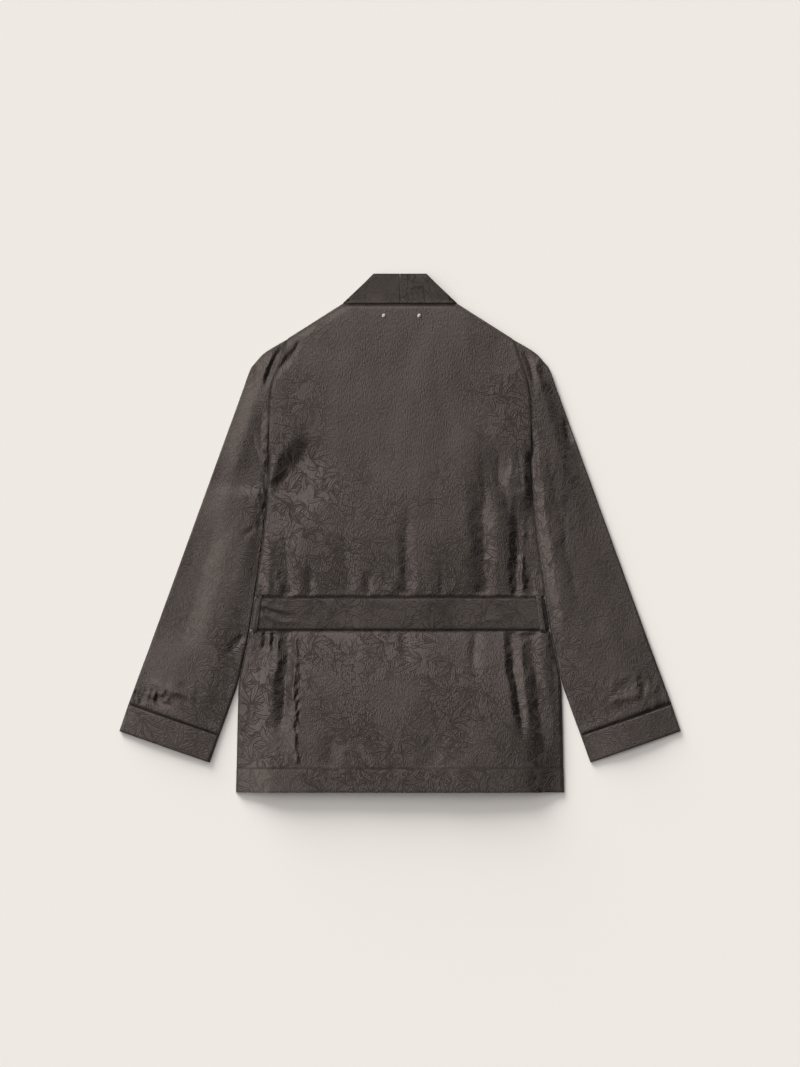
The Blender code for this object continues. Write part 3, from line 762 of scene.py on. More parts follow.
def turned_rim(grid, drop, steps=2):
    """Adds rows and columns that turn a panel's rim straight down by the cloth's thickness.

    A drop below 0 turns the rim up.
    """
    grid = edged(grid)
    for _ in range(steps):
        grid = np.pad(grid, ((1, 1), (1, 1), (0, 0)), mode="edge")
        rim = np.ones(grid.shape[:2], dtype=bool)
        rim[1:-1, 1:-1] = False
        grid[rim, 2] -= drop / steps
    return grid


def padded(values, steps=2):
    """Carries a panel's values out over its turned rim."""
    values = edged(values)
    width = ((steps, steps), (steps, steps)) + ((0, 0),) * (values.ndim - 2)
    return np.pad(values, width, mode="edge")


def keep_cloth(piece, kind, side=""):
    """Ties a cloth piece to the jacket's root, and hides its solid."""
    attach(piece, "root")
    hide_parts(kind + "_" + side if side else kind)


def plug(tree, made, sockets):
    """Fills or links a node's inputs, given by name or number."""
    for key, value in dict(sockets).items():
        if isinstance(value, bpy.types.NodeSocket):
            tree.links.new(value, made.inputs[key])
        else:
            made.inputs[key].default_value = value


def node(tree, kind, sockets=(), **settings):
    """Adds a node, sets its options, and fills or links its inputs."""
    made = tree.nodes.new(kind)
    for option, value in settings.items():
        setattr(made, option, value)
    plug(tree, made, sockets)
    return made


def new_material(name):
    """A material with its node tree and its shader."""
    material = bpy.data.materials.new(name)
    material.use_nodes = True
    return material, material.node_tree, material.node_tree.nodes["Principled BSDF"]


def maths(tree, operation, *values):
    """Adds a math node for numbers or sockets and gives its result."""
    return node(tree, "ShaderNodeMath", dict(enumerate(values)), operation=operation).outputs[0]


def ramp(tree, value, low, high, start=0.0, end=1.0):
    """Carries a value from one range to another and holds it at the ends."""
    return node(tree, "ShaderNodeMapRange", {0: value, 1: low, 2: high, 3: start, 4: end}).outputs[0]


def flat_noise(tree, place, size, detail=0.0):
    """Smooth noise with features of about the given size."""
    sockets = {"Vector": place, "Scale": 1 / size, "Detail": detail}
    return node(tree, "ShaderNodeTexNoise", sockets, noise_dimensions="2D").outputs


def solid_noise(tree, scale, detail):
    """Noise through the piece's own space, with this many features to the metre."""
    place = node(tree, "ShaderNodeTexCoord").outputs["Object"]
    sockets = {"Vector": place, "Scale": scale, "Detail": detail}
    return node(tree, "ShaderNodeTexNoise", sockets).outputs["Fac"]


def motif_group(title, sockets):
    """An empty node group with a place input, the numbers named, and line and fill outputs."""
    group = bpy.data.node_groups.new(title, "ShaderNodeTree")
    group.interface.new_socket("Place", in_out="INPUT", socket_type="NodeSocketVector")
    for name in sockets:
        group.interface.new_socket(name, in_out="INPUT", socket_type="NodeSocketFloat")
    for name in ("Line", "Fill"):
        group.interface.new_socket(name, in_out="OUTPUT", socket_type="NodeSocketFloat")
    return group, group.nodes.new("NodeGroupInput"), group.nodes.new("NodeGroupOutput")


def scattered_place(tree, given):
    """Place measured from the nearest scattered centre and turned by chance, in millimetres."""
    shift = node(tree, "ShaderNodeCombineXYZ", {0: given.outputs["Shift"], 1: given.outputs["Shift"]})
    moved = node(tree, "ShaderNodeVectorMath", {0: given.outputs["Place"], 1: shift.outputs[0]}).outputs[0]
    scale = maths(tree, "DIVIDE", 1.0, given.outputs["Spacing"])
    sockets = {"Vector": moved, "Scale": scale, "Randomness": 0.85}
    cells = node(tree, "ShaderNodeTexVoronoi", sockets, voronoi_dimensions="2D").outputs
    away = node(tree, "ShaderNodeVectorMath", {0: moved, 1: cells["Position"]}, operation="SUBTRACT")
    chance = node(tree, "ShaderNodeSeparateColor", {0: cells["Color"]})
    angle = maths(tree, "MULTIPLY", chance.outputs[0], 2 * math.pi)
    sockets = {"Vector": away.outputs[0], "Angle": angle}
    turned = node(tree, "ShaderNodeVectorRotate", sockets, rotation_type="Z_AXIS")
    return node(tree, "ShaderNodeSeparateXYZ", {0: turned.outputs[0]}), chance


def spray_motif():
    """Group: scattered sprays of pointed leaves that fan out from a centre. Sizes in millimetres.

    Each leaf is drawn by its outline and a fainter midrib.
    """
    numbers = ("Spacing", "Reach", "Breadth", "Leaves", "Fan", "Shift")
    tree, given, result = motif_group("woven spray", numbers)
    place, chance = scattered_place(tree, given)
    x, y = place.outputs[0], place.outputs[1]
    reach = given.outputs["Reach"]

    def times(a, b):
        return maths(tree, "MULTIPLY", a, b)

    def plus(a, b):
        return maths(tree, "ADD", a, b)

    def minus(a, b):
        return maths(tree, "SUBTRACT", a, b)

    def over(a, b):
        return maths(tree, "DIVIDE", a, b)

    out = maths(tree, "SQRT", plus(times(x, x), times(y, y)))
    # Leaves bend to one side or the other as they leave the centre
    bend = times(ramp(tree, chance.outputs[2], 0.0, 1.0, -1.1, 1.1), out)
    angle = plus(maths(tree, "ARCTAN2", y, x), over(bend, reach))
    step = over(2 * math.pi, given.outputs["Leaves"])
    number = maths(tree, "ROUND", over(angle, step))
    off = minus(angle, times(number, step))
    along = times(out, maths(tree, "COSINE", off))
    off_rib = maths(tree, "ABSOLUTE", times(out, maths(tree, "SINE", off)))
    # Leaves of one spray differ in length
    key = node(tree, "ShaderNodeCombineXYZ", {0: number, 1: times(chance.outputs[1], 97.0)}).outputs[0]
    own = node(tree, "ShaderNodeTexWhiteNoise", {"Vector": key}, noise_dimensions="2D").outputs["Value"]
    length = times(reach, ramp(tree, own, 0.0, 1.0, 0.62, 1.0))
    half = times(length, 0.46)
    from_middle = minus(along, times(length, 0.52))
    wide = times(half, given.outputs["Breadth"])
    # A leaf is the overlap of two circles: their centres lie to both sides of the midrib
    offset = over(minus(times(half, half), times(wide, wide)), times(wide, 2.0))
    side = plus(off_rib, offset)
    squares = plus(times(side, side), times(from_middle, from_middle))
    depth = minus(plus(offset, wide), maths(tree, "SQRT", squares))
    within = maths(tree, "LESS_THAN", maths(tree, "ABSOLUTE", angle), given.outputs["Fan"])
    fill = times(ramp(tree, depth, -0.2, 0.4), within)
    outline = ramp(tree, maths(tree, "ABSOLUTE", depth), 0.25, 0.75, 1.0, 0.0)
    rib = times(ramp(tree, off_rib, 0.1, 0.45, 0.5, 0.0), fill)
    line = maths(tree, "MAXIMUM", outline, rib)
    plug(tree, result, {"Line": times(line, within), "Fill": fill})
    return tree


def jacquard_satin():
    """Silk-and-viscose jacquard: a smooth satin ground, with leaf and flower lines woven dull into it.

    The ground throws back the bright or the dark side of the room as it turns. The figure scatters the light,
    so its lines are darker than a bright ground and paler than a dark one.
    Thread spacing is about 0.1 mm, too fine to show, so the slubs are drawn 1.6 mm wide.
    """
    settings = bpy.context.scene.jacket_cloth
    material, tree, shader = new_material("jacquard satin")
    weave = node(tree, "ShaderNodeUVMap", uv_map="weave").outputs[0]
    in_mm = node(tree, "ShaderNodeVectorMath", {0: weave, "Scale": 1 / MM}, operation="SCALE")
    place = in_mm.outputs[0]
    # Growth of the motif: its place is swayed so that no two leaves or flowers are alike
    swayed = place
    for size, amount in ((50.0, 15.0), (13.0, 3.5)):
        sway = flat_noise(tree, place, size)["Color"]
        centred = node(tree, "ShaderNodeVectorMath", {0: sway, 1: (0.5, 0.5, 0.5)}, operation="SUBTRACT")
        sockets = {0: centred.outputs[0], 1: (amount, amount, 0.0), 2: swayed}
        swayed = node(tree, "ShaderNodeVectorMath", sockets, operation="MULTIPLY_ADD").outputs[0]
    spacing = settings.motif_spacing / MM
    spray_tree = spray_motif()
    line, fill = 0.0, 0.0
    for apart, reach, breadth, leaves, fan, shift in FLOWERS_AND_LEAVES:
        values = {"Place": swayed, "Spacing": apart * spacing, "Reach": reach * spacing}
        values.update({"Breadth": breadth, "Leaves": leaves, "Fan": fan, "Shift": shift})
        spray = node(tree, "ShaderNodeGroup", values, node_tree=spray_tree)
        shown = maths(tree, "MULTIPLY", spray.outputs["Line"], maths(tree, "SUBTRACT", 1.0, fill))
        line = maths(tree, "MAXIMUM", line, shown)
        fill = maths(tree, "MAXIMUM", fill, spray.outputs["Fill"])
    # The figure is clear in some patches and faint in others
    clear = ramp(tree, flat_noise(tree, place, 100.0, 2.0)["Fac"], 0.38, 0.58, 0.42, 1.0)
    bloom = node(tree, "ShaderNodeAttribute", attribute_name="bloom").outputs["Fac"]
    figure = maths(tree, "MULTIPLY", line, maths(tree, "MULTIPLY", clear, bloom))
    # Slubs run along the warp
    stretched = node(tree, "ShaderNodeVectorMath", {0: place, 1: (0.62, 0.2, 1.0)}, operation="MULTIPLY")
    slub = flat_noise(tree, stretched.outputs[0], 1.0, 3.0)["Fac"]
    tone = ramp(tree, slub, 0.25, 0.75, 0.72, 1.28)
    # Painted shade: in seams, creases and along turned edges the colour darkens to a quarter, and the cloth
    # is rougher there
    painted_shade = node(tree, "ShaderNodeAttribute", attribute_name="painted_shade").outputs["Fac"]
    dark = maths(tree, "MULTIPLY", tone, ramp(tree, painted_shade, 0.0, 1.0, 1.0, 0.25))
    sockets = {"Factor": figure, 6: settings.satin[:], 7: settings.figure[:]}
    mixed = node(tree, "ShaderNodeMix", sockets, data_type="RGBA")
    tinted = node(tree, "ShaderNodeVectorMath", {0: mixed.outputs[2], "Scale": dark}, operation="SCALE")
    rough = ramp(tree, figure, 0.0, 1.0, 0.18, 0.95)
    rough = maths(tree, "MULTIPLY_ADD", slub, 0.14, rough)
    rough = maths(tree, "MULTIPLY_ADD", painted_shade, 0.6, rough)
    height = maths(tree, "MULTIPLY_ADD", figure, -0.6, slub)
    bump = node(tree, "ShaderNodeBump", {"Height": height, "Strength": 1.0, "Distance": 0.0006})
    sockets = {"Base Color": tinted.outputs[0], "Roughness": rough, "Normal": bump.outputs[0], "IOR": 1.96}
    sockets["Specular Tint"] = (1.0, 0.84, 0.78, 1.0)
    sockets.update({"Sheen Weight": 0.05, "Sheen Roughness": 0.4, "Sheen Tint": (0.9, 0.82, 0.78, 1.0)})
    plug(tree, shader, sockets)
    return material


def sewing_thread():
    """Mercerised cotton thread, twisted tight: dark, with a faint shine along each stitch."""
    material, tree, shader = new_material("mercerised cotton thread")
    colour = node(tree, "ShaderNodeValToRGB", {0: solid_noise(tree, 1500.0, 1.0)})
    dark, pale = colour.color_ramp.elements
    dark.color = linear(THREAD_HEX)
    pale.color = linear(PALE_THREAD_HEX)
    plug(tree, shader, {"Base Color": colour.outputs[0], "Roughness": 0.55})
    return material


def polished_steel():
    """Stamped steel, polished and nickel plated: bright, with fine scratches that break up its shine."""
    material, tree, shader = new_material("nickel-plated steel")
    scratch = solid_noise(tree, 2200.0, 3.0)
    rough = ramp(tree, scratch, 0.3, 0.7, 0.16, 0.34)
    tone = ramp(tree, scratch, 0.0, 1.0, 0.85, 1.05)
    sockets = {0: linear(STEEL_HEX)[:3], "Scale": tone}
    tinted = node(tree, "ShaderNodeVectorMath", sockets, operation="SCALE")
    plug(tree, shader, {"Base Color": tinted.outputs[0], "Roughness": rough, "Metallic": 1.0})
    return material


def finish(name, maker):
    """A material that is made once and then shared."""
    return bpy.data.materials.get(name) or maker()


def back_rows(step):
    """Rows of the back from the hem seam up: edge half width, edge height, share of the rise to the top."""
    low = spaced(HEM_SEAM_Y + 0.05, UNDERARM_Y, step)
    arm = spaced(UNDERARM_Y, YOKE_Y, step)[1:]
    share = np.linspace(0.0, 1.0, int(round((NECK_SEAM_Y - YOKE_Y) / step)))[1:]
    yoke = YOKE_Y + share * (SHOULDER[1] - YOKE_Y)
    half = np.concatenate([body_half(low), through(ARMHOLE, arm), through(ARMHOLE, yoke)])
    height = np.concatenate([low, arm, yoke])
    return half, height, np.concatenate([np.zeros(len(low) + len(arm)), share])


def faint_at_neck(x, y):
    """The figure fades towards the upper middle of the back, where the light runs along the satin."""
    half_width, half_height = FAINT_SIZE
    away = np.hypot(x / half_width, (y - FAINT_Y) / half_height) + 0.3 * wavy(x, y, 45.0, 6.5)
    return lerp(FAINTEST, 1.0, smooth((away - 0.4) / 0.9))


class JACKET_OT_body(Operator):
    """Back panel with its folds, the wrapped fronts and their hem bands"""

    bl_idname = "jacket.body"
    bl_label = "Body"

    def execute(self, context):
        step = context.scene.jacket_folds.grid / MM
        satin = finish("jacquard satin", jacquard_satin)
        half, height, share = back_rows(step)
        columns = closer_near(PLEATS, 0.12, BACK_SPREAD, step * 1.25)
        x = half[:, None] * columns[None, :]
        top_y = np.interp(np.abs(x), *np.array(TOP_EDGE).T)
        y = np.where(share[:, None] > 0, lerp(YOKE_Y, top_y, share[:, None]), height[:, None])
        z = back_top(x, y)
        grid = np.stack([x, y, z], axis=-1)
        # Painted shade: darker colour in the armhole and hem seams, in the creases at the belt and the
        # collar, and along the turned edges
        edges = turned_edge_shade(back_edge_away(x, y))
        seams = (0.6 * armhole_ditch(x, y), 0.4 * hem_ditch(y), belt_ditch(y), collar_ditch(x, y), edges)
        seam = np.maximum.reduce(np.broadcast_arrays(*seams))
        bloom = faint_at_neck(x, y)
        weave = np.stack([x, y], axis=-1) * MM
        back = cloth_object(
            "back_panel",
            turned_rim(grid, BACK_RIM),
            padded(weave),
            satin,
            painted_shade=padded(seam),
            bloom=padded(bloom),
        )
        keep_cloth(back, "back")
        self.hem_band(satin, columns, step)
        for name, side in SIDES:
            self.front(satin, name, side, step * 2.2)
        return {"FINISHED"}

    def hem_band(self, satin, columns, step):
        """Hem band of the back: its lower edge turns under."""
        rows = spaced(HEM_Y + 0.6, HEM_SEAM_Y - 0.05, step)
        half = through(SIDE_LINE, rows)
        x = half[:, None] * columns[None, :]
        y = np.broadcast_to(rows[:, None], x.shape)
        z = back_top(x, y)
        z = z - LIP_DROP * (1.0 - rim_round((y - HEM_Y) * 2.0))
        grid = np.stack([x, y, z], axis=-1)
        weave = (grid[..., :2] + HEM_CUT) * MM
        # Painted shade in the hem seam and along the turned edges
        seam = np.maximum(0.4 * hem_ditch(y), turned_edge_shade(back_edge_away(x, y)))
        rimmed = turned_rim(grid, HEM_RIM)
        band = cloth_object("hem_band_back", rimmed, padded(weave), satin, painted_shade=padded(seam))
        keep_cloth(band, "hem_back")

    def front(self, satin, name, side, step):
        """One front with its hem band, seen from below."""
        half, height, share = back_rows(step)
        inner_y = np.where(share > 0, lerp(YOKE_Y, COLLAR_EDGE_Y, share), height)
        inner = band_seam_x(inner_y) + 0.15
        across = np.linspace(0.0, 1.0, int(250 / step))
        x = side * lerp(inner[:, None], half[:, None] - 0.6, across[None, :])
        y = lerp(inner_y[:, None], height[:, None], across[None, :])
        for piece, kind, px, py, wall in self.front_and_hem(x, y, step):
            z = front_floor(px, py, side) + fold_rise(px, py, FRONT_FOLDS) * (1 - belt_hold(py))
            grid = np.stack([px, py, z], axis=-1)
            weave = np.stack([px * side + FRONT_CUT[name], py], axis=-1) * MM
            made = cloth_object(piece + name, turned_rim(grid, -wall), padded(weave), satin, flip=side > 0)
            keep_cloth(made, kind, name)

    def front_and_hem(self, x, y, step):
        """The front and its hem band: names of piece and solid, places, and wall."""
        yield "front_panel_", "front", x, y, WALL
        rows = spaced(HEM_Y + 0.4, HEM_SEAM_Y - 0.15, step)
        hem_x = np.broadcast_to(x[:1], (len(rows), x.shape[1]))
        hem_y = np.broadcast_to(rows[:, None], hem_x.shape)
        yield "hem_band_front_", "hem_front", hem_x, hem_y, HEM_WALL


def band_free_x(y):
    """Free edge of the right collar band: from the neck to the wrap at the belt, then straight down."""
    down = np.minimum(1.0, (COLLAR_TOP_Y - y) / (COLLAR_TOP_Y - WAIST_Y))
    return lerp(COLLAR_TOP_HALF, -WRAP, down)


def band_seam_x(y):
    """Seam between the right collar band and the right front."""
    down = np.minimum(1.0, (COLLAR_EDGE_Y - y) / (COLLAR_EDGE_Y - WAIST_Y))
    return lerp(NECK_HALF, BAND_WIDTH - WRAP, down)


def front_floor(x, y, side):
    """Underside of a front: the right one lies on the surface, the left one climbs over it at the wrap."""
    over = plateau(band_free_x(y) - x, 6.0, 24.0) if side < 0 else 0.0
    return belt_lift(x, y) + OVER_LIFT * over


def armhole_line(count):
    """Places down the sleeve's side of the armhole seam, from the shoulder to the underarm."""
    heights = np.linspace(SHOULDER[1], UNDERARM_Y, count)
    return np.stack([through(ARMHOLE, heights) + SIDE_GAP, heights], axis=-1)


def sleeve_frame(step):
    """Places across the sleeve in each section, from armhole to cuff seam, and the shares along it."""
    sections = np.array(SLEEVE_SECTIONS)
    order = np.arange(len(sections))
    fine = np.linspace(0, len(sections) - 1, int(round(SLEEVE_RUN / step)))
    edges = np.stack([through(np.column_stack([order, sections[:, k]]), fine) for k in range(4)], axis=-1)
    outer, inner = edges[:, :2], edges[:, 2:]
    even = np.linspace(0.0, 1.0, int(round(SLEEVE_SPREAD / step)))
    shares = lerp(even, 0.5 - 0.5 * np.cos(np.pi * even), 0.6)
    arm = armhole_line(400)
    run = run_along(arm)
    seam = np.stack([np.interp(shares * run[-1], run, arm[:, k]) for k in range(2)], axis=-1)
    bow = seam - lerp(seam[:1], seam[-1:], shares[:, None])
    fade = 1.0 - smooth(fine / 4.0)
    places = lerp(outer[:, None, :], inner[:, None, :], shares[None, :, None])
    return places + bow[None] * fade[:, None, None], fine / fine[-1]


def flat_tube(places, tops, side):
    """Rings of a tube that lies flat: over the top from its outer to its inner fold, back along the floor."""
    top = np.concatenate([places, tops[..., None]], axis=-1)
    picked = places[:, ::-3]
    low = np.concatenate([picked, np.zeros(picked.shape[:2] + (1,))], axis=-1)
    low[:, (0, -1), 2] = TUBE_FOLD_Z
    rings = np.concatenate([top[:, 1:-1], low], axis=1)
    rings[..., 0] *= side
    return rings


def around_tube(values):
    """Values of a flat tube's upper side carried round its underside, which has fewer points."""
    return np.concatenate([values[:, 1:-1], values[:, ::-3]], axis=1)


def tube_weave(places, axis, over, shift):
    """Weave map of a flat tube: along the axis and round it, with one more column for the seam."""
    along = places @ axis
    across = places @ over
    top = np.stack([across, along], axis=-1)
    low = np.stack([2 * across[:, -1:] - across, along], axis=-1)[:, ::-3]
    joined = np.concatenate([top[:, 1:-1], low, low[:, -1:]], axis=1)
    return (joined + shift) * MM


class JACKET_OT_sleeves(Operator):
    """Set-in sleeves that lie flat beside the body, and their cuff bands"""

    bl_idname = "jacket.sleeves"
    bl_label = "Sleeves and cuffs"

    def execute(self, context):
        step = context.scene.jacket_folds.grid / MM
        satin = finish("jacquard satin", jacquard_satin)
        for name, side in SIDES:
            self.sleeve(satin, name, side, step)
            self.cuff(satin, name, side, step)
        return {"FINISHED"}

    def sleeve(self, satin, name, side, step):
        """One sleeve: a flat tube from the armhole to the cuff seam."""
        places, along = sleeve_frame(step)
        from_outer = np.linalg.norm(places - places[:, :1], axis=-1)
        from_inner = np.linalg.norm(places - places[:, -1:], axis=-1)
        away = np.minimum(from_outer, from_inner)
        crown = rim_round(away)
        x, y = places[..., 0], places[..., 1]
        to_cuff = (1.0 - along)[:, None] * SLEEVE_LENGTH
        from_arm = to_path(x, y, armhole_line(24))[0]
        arm_seam = bell(from_arm, ARMHOLE_SEAM)
        # Painted shade at the cuff seam, in the armhole seam and along the turned edges
        painted_shade = np.maximum(np.maximum(bell(to_cuff, 1.4), 0.6 * arm_seam), turned_edge_shade(away))
        blouse = 0.5 * bell(to_cuff - 8.0, 6.0)
        creased = crumple_rise(side * x, y, SLEEVE_CRUMPLES[name], 14.0 * side)
        creased = creased + ripple(side * x, y, 11.0 * side)
        moved = fold_rise(side * x, y, SLEEVE_FOLDS[name]) + creased + blouse
        # At the armhole the sleeve is as full as the back
        inwards = lerp(FULLNESS, SLEEVE_FULLNESS, smooth(from_arm / 90.0))
        tops = EDGE_TOP + RIM_RISE * crown + inwards * smooth(away / FULL_REACH)
        sunk = ARMHOLE_DEPTH * arm_seam + CUFF_CREASE * bell(to_cuff, 1.5)
        tops = np.maximum(pressed(tops, moved * crown) - sunk * crown, EDGE_TOP)
        rings = flat_tube(places, tops, side)
        weave = tube_weave(places, ALONG_SLEEVE, ACROSS_SLEEVE, SLEEVE_CUT[name])
        # The figure shows beside the armhole and the body, and most on the left
        inner = from_outer / (from_outer + from_inner)
        bloom = lerp(0.5, SLEEVE_FIGURE[name], smooth((inner - 0.3) / 0.4))
        made = cloth_object(
            "sleeve_tube_" + name,
            rings,
            weave,
            satin,
            around=True,
            painted_shade=around_tube(painted_shade),
            bloom=around_tube(bloom),
            flip=side < 0,
        )
        keep_cloth(made, "sleeve", name)

    def cuff(self, satin, name, side, step):
        """A doubled band: its outer side, the turned edge at the wrist and the start of its inner side."""
        seam, end = np.array(SLEEVE_SECTIONS[-1]), np.array(CUFF_END)
        along = np.concatenate([spaced(0.006, 0.06, 0.02), spaced(0.08, 0.94, 0.05), [0.97, 0.99, 1.0]])
        edges = lerp(seam, end, along[:, None])
        shares = sleeve_frame(step)[0][-1]
        shares = np.linalg.norm(shares - shares[0], axis=-1)
        shares = shares / shares[-1]
        places = lerp(edges[:, None, :2], edges[:, None, 2:], shares[None, :, None])
        away = np.minimum(shares, 1.0 - shares) * CUFF_WIDTH
        crown = rim_round(away)[None, :]
        from_seam = along[:, None] * CUFF_LENGTH
        to_edge = (1.0 - along[:, None]) * CUFF_LENGTH
        # Painted shade at the seam, along the side edges and at the turned wrist edge
        painted_shade = np.maximum(bell(from_seam, 1.2), turned_edge_shade(away)[None, :])
        painted_shade = np.maximum(painted_shade, turned_edge_shade(to_edge))
        x, y = places[..., 0], places[..., 1]
        lip = LIP_DROP * (1.0 - rim_round(to_edge * 2.0))
        swell = SLEEVE_FULLNESS * smooth(away / FULL_REACH)[None, :] - 0.4
        tops = EDGE_TOP + (RIM_RISE + swell + ripple(side * x, y, 21.0 * side)) * crown
        tops = tops - (2.2 * bell(from_seam, 1.4) + lip) * crown
        rings = flat_tube(places, tops, side)
        inner = rings[-1].copy()
        centre = inner[:, :2].mean(axis=0)
        inner[:, :2] = centre + (inner[:, :2] - centre) * 0.985
        floor_side = np.maximum(inner[:, 2], CUFF_WALL * 0.7)
        inner[:, 2] = np.where(inner[:, 2] > TUBE_FOLD_Z + 0.05, inner[:, 2] - CUFF_WALL, floor_side)
        back = np.array([side * (seam[0] - end[0]), seam[1] - end[1], 0.0])
        deep = inner + back / np.linalg.norm(back) * CUFF_TURN
        rings = np.concatenate([rings, inner[None], deep[None]])
        weave = tube_weave(places, ACROSS_SLEEVE, -ALONG_SLEEVE, CUFF_CUT[name])
        weave = np.concatenate([weave, weave[-2:][::-1]])
        painted_cuff_shade = around_tube(np.broadcast_to(painted_shade, x.shape))
        painted_cuff_shade = np.concatenate([painted_cuff_shade, painted_cuff_shade[-2:]])
        made = cloth_object(
            "cuff_band_" + name,
            rings,
            weave,
            satin,
            around=True,
            painted_shade=painted_cuff_shade,
            bloom=FAINT_FIGURE,
            flip=side < 0,
        )
        keep_cloth(made, "cuff", name)


def collar_half_width(y):
    """Half width of the collar, narrowing from its edge to its roll."""
    t = (y - COLLAR_EDGE_Y) / (COLLAR_TOP_Y - COLLAR_EDGE_Y)
    return lerp(NECK_HALF, COLLAR_TOP_HALF, np.clip(t, 0.0, 1.0))


def collar_line(share):
    """Middle line of the collar through its fall, its roll and its stand: height y and z at each point."""
    radius = (ROLL_Z - STAND_Z) / 2
    roll_start = COLLAR_TOP_Y - COLLAR_WALL / 2 - radius
    on_back = spaced(COLLAR_EDGE_Y + 0.6, NECK_SEAM_Y, 1.2)
    fall_y = np.concatenate([on_back, spaced(NECK_SEAM_Y + 2.0, roll_start, 2.0)])
    x = share * collar_half_width(fall_y)
    lying = back_top(np.minimum(x, NECK_HALF - 0.5), np.minimum(fall_y, NECK_SEAM_Y - 1.5), False) + 1.3
    fall_z = lerp(lying, ROLL_Z, smooth((fall_y - COLLAR_EDGE_Y - 3.0) / 26.0))
    fall_z = np.maximum(fall_z, STAND_Z + COLLAR_WALL + AIR) + 0.25 * np.sin(fall_y / 9.0 + 4.0 * share)
    turn = np.radians(np.linspace(80, -90, 9))
    stand_y = spaced(roll_start - 3.0, NECK_SEAM_Y + 0.4, 5.0)
    line_y = np.concatenate([fall_y, roll_start + radius * np.cos(turn), stand_y])
    roll_z = STAND_Z + radius + radius * np.sin(turn)
    line_z = np.concatenate([fall_z, roll_z, np.full(len(stand_y), STAND_Z)])
    return line_y, line_z


class JACKET_OT_collar(Operator):
    """Folded collar at the back neck, in two halves, and the bands down the front edges"""

    bl_idname = "jacket.collar"
    bl_label = "Collar"

    def execute(self, context):
        satin = finish("jacquard satin", jacquard_satin)
        for name, side in SIDES:
            self.back_half(satin, name, side)
            self.front_band(satin, name, side)
        return {"FINISHED"}

    def back_half(self, satin, name, side):
        """One half of the folded collar, from the middle seam to the shoulder."""
        shares = np.concatenate([[0.0, 0.012, 0.03], spaced(0.05, 0.92, 0.02), [0.95, 0.97, 0.985, 1.0]])
        rings, maps, painted_shades = [], [], []
        for share in shares:
            line_y, line_z = collar_line(share)
            out = square_to(np.column_stack([line_y, line_z])) * COLLAR_WALL / 2
            half = np.maximum(0.12, share * (collar_half_width(line_y) - 0.2))
            seam = 0.25 * bell(share * 60.0, 1.2)
            down = 0.8 * (1.0 - float(rim_round((1.0 - share) * 48.0)))
            upper = np.column_stack([side * half, line_y + out[:, 0], line_z + out[:, 1] - seam - down])
            under = np.column_stack([side * half, line_y - out[:, 0], line_z - out[:, 1] - down])
            nose = np.array([[side * half[0], COLLAR_EDGE_Y, line_z[0] - seam - down]])
            rings.append(np.concatenate([nose, upper, under[::-1]]))
            around = run_along(rings[-1][:, 1:])
            maps.append(np.column_stack([np.full(len(around), half.max() + COLLAR_CUT), around]))
            # Painted shade: the collar's colour is darkened as cloth cut across the grain, more towards its
            # outer end, and fully along its roll
            edge = max(CROSS_GRAIN_SHADE, float(turned_edge_shade((1.0 - share) * 60.0)))
            painted_shades.append(np.where(rings[-1][:, 1] > COLLAR_TOP_Y - 3.2, 1.0, edge))
        grid = np.array(rings)
        weave = np.array(maps) * MM
        weave[..., 0] = weave[..., 0] * side + 0.2 * side
        weave = np.concatenate([weave, weave[:, :1]], axis=1)
        made = cloth_object(
            "collar_fold_" + name,
            grid,
            weave,
            satin,
            around=True,
            capped=True,
            painted_shade=np.array(painted_shades),
            bloom=FAINT_FIGURE,
        )
        keep_cloth(made, "collar", name)

    def front_band(self, satin, name, side):
        """The band down one front edge, from the neck to the hem."""
        rows = spaced(BAND_TOP_Y, HEM_Y + 0.3, 5.0)
        places = np.linspace(0.0, 1.0, 12)
        outer, inner = np.array([(NECK_HALF, COLLAR_EDGE_Y), (COLLAR_TOP_HALF, COLLAR_TOP_Y)])
        neck = lerp(outer, inner, places[:, None])
        x = lerp((band_seam_x(rows) - 0.15)[:, None], band_free_x(rows)[:, None], places[None, :])
        y = np.broadcast_to(rows[:, None], x.shape)
        x = side * np.concatenate([neck[None, :, 0], x])
        y = np.concatenate([neck[None, :, 1], y])
        z = front_floor(x, y, side)
        grid = np.stack([x, y, z], axis=-1)
        weave = np.stack([x * side + BAND_CUT, y + 77.0 * side], axis=-1) * MM
        rimmed = turned_rim(grid, -WALL)
        made = cloth_object("collar_band_" + name, rimmed, padded(weave), satin, flip=side < 0)
        keep_cloth(made, "collar_front", name)


def belt_on_back(x):
    """Middle of the belt's wall where it lies on the back."""
    return back_top(x, np.full(x.shape, WAIST_Y), False) + AIR + BELT_WALL / 2


def belt_path(step):
    """Middle line of the belt round the waist, from one lapped end to the other: place across, height."""
    half = waist_half()
    low = BELT_WALL / 2
    high = belt_on_back(np.array([half]))[0]
    radius, centre = (high - low) / 2, half + 0.6
    lead = spaced(BELT_LAP, -half, step)
    turn = np.radians(np.linspace(-90, 90, 13))
    left = np.column_stack([-centre - radius * np.cos(turn), low + radius + radius * np.sin(turn)])
    across = spaced(-half + 1.5, half - 1.5, step)
    top = np.column_stack([across, belt_on_back(across)])
    tail = spaced(half, -BELT_LAP, step)
    lapped = low + (BELT_WALL + AIR) * plateau(tail, BELT_LAP + 9.0, BELT_LAP + 41.0)
    return np.concatenate(
        [
            np.column_stack([lead, np.full(len(lead), low)]),
            left,
            top,
            left[::-1] * [-1, 1],
            np.column_stack([tail, lapped]),
        ]
    )


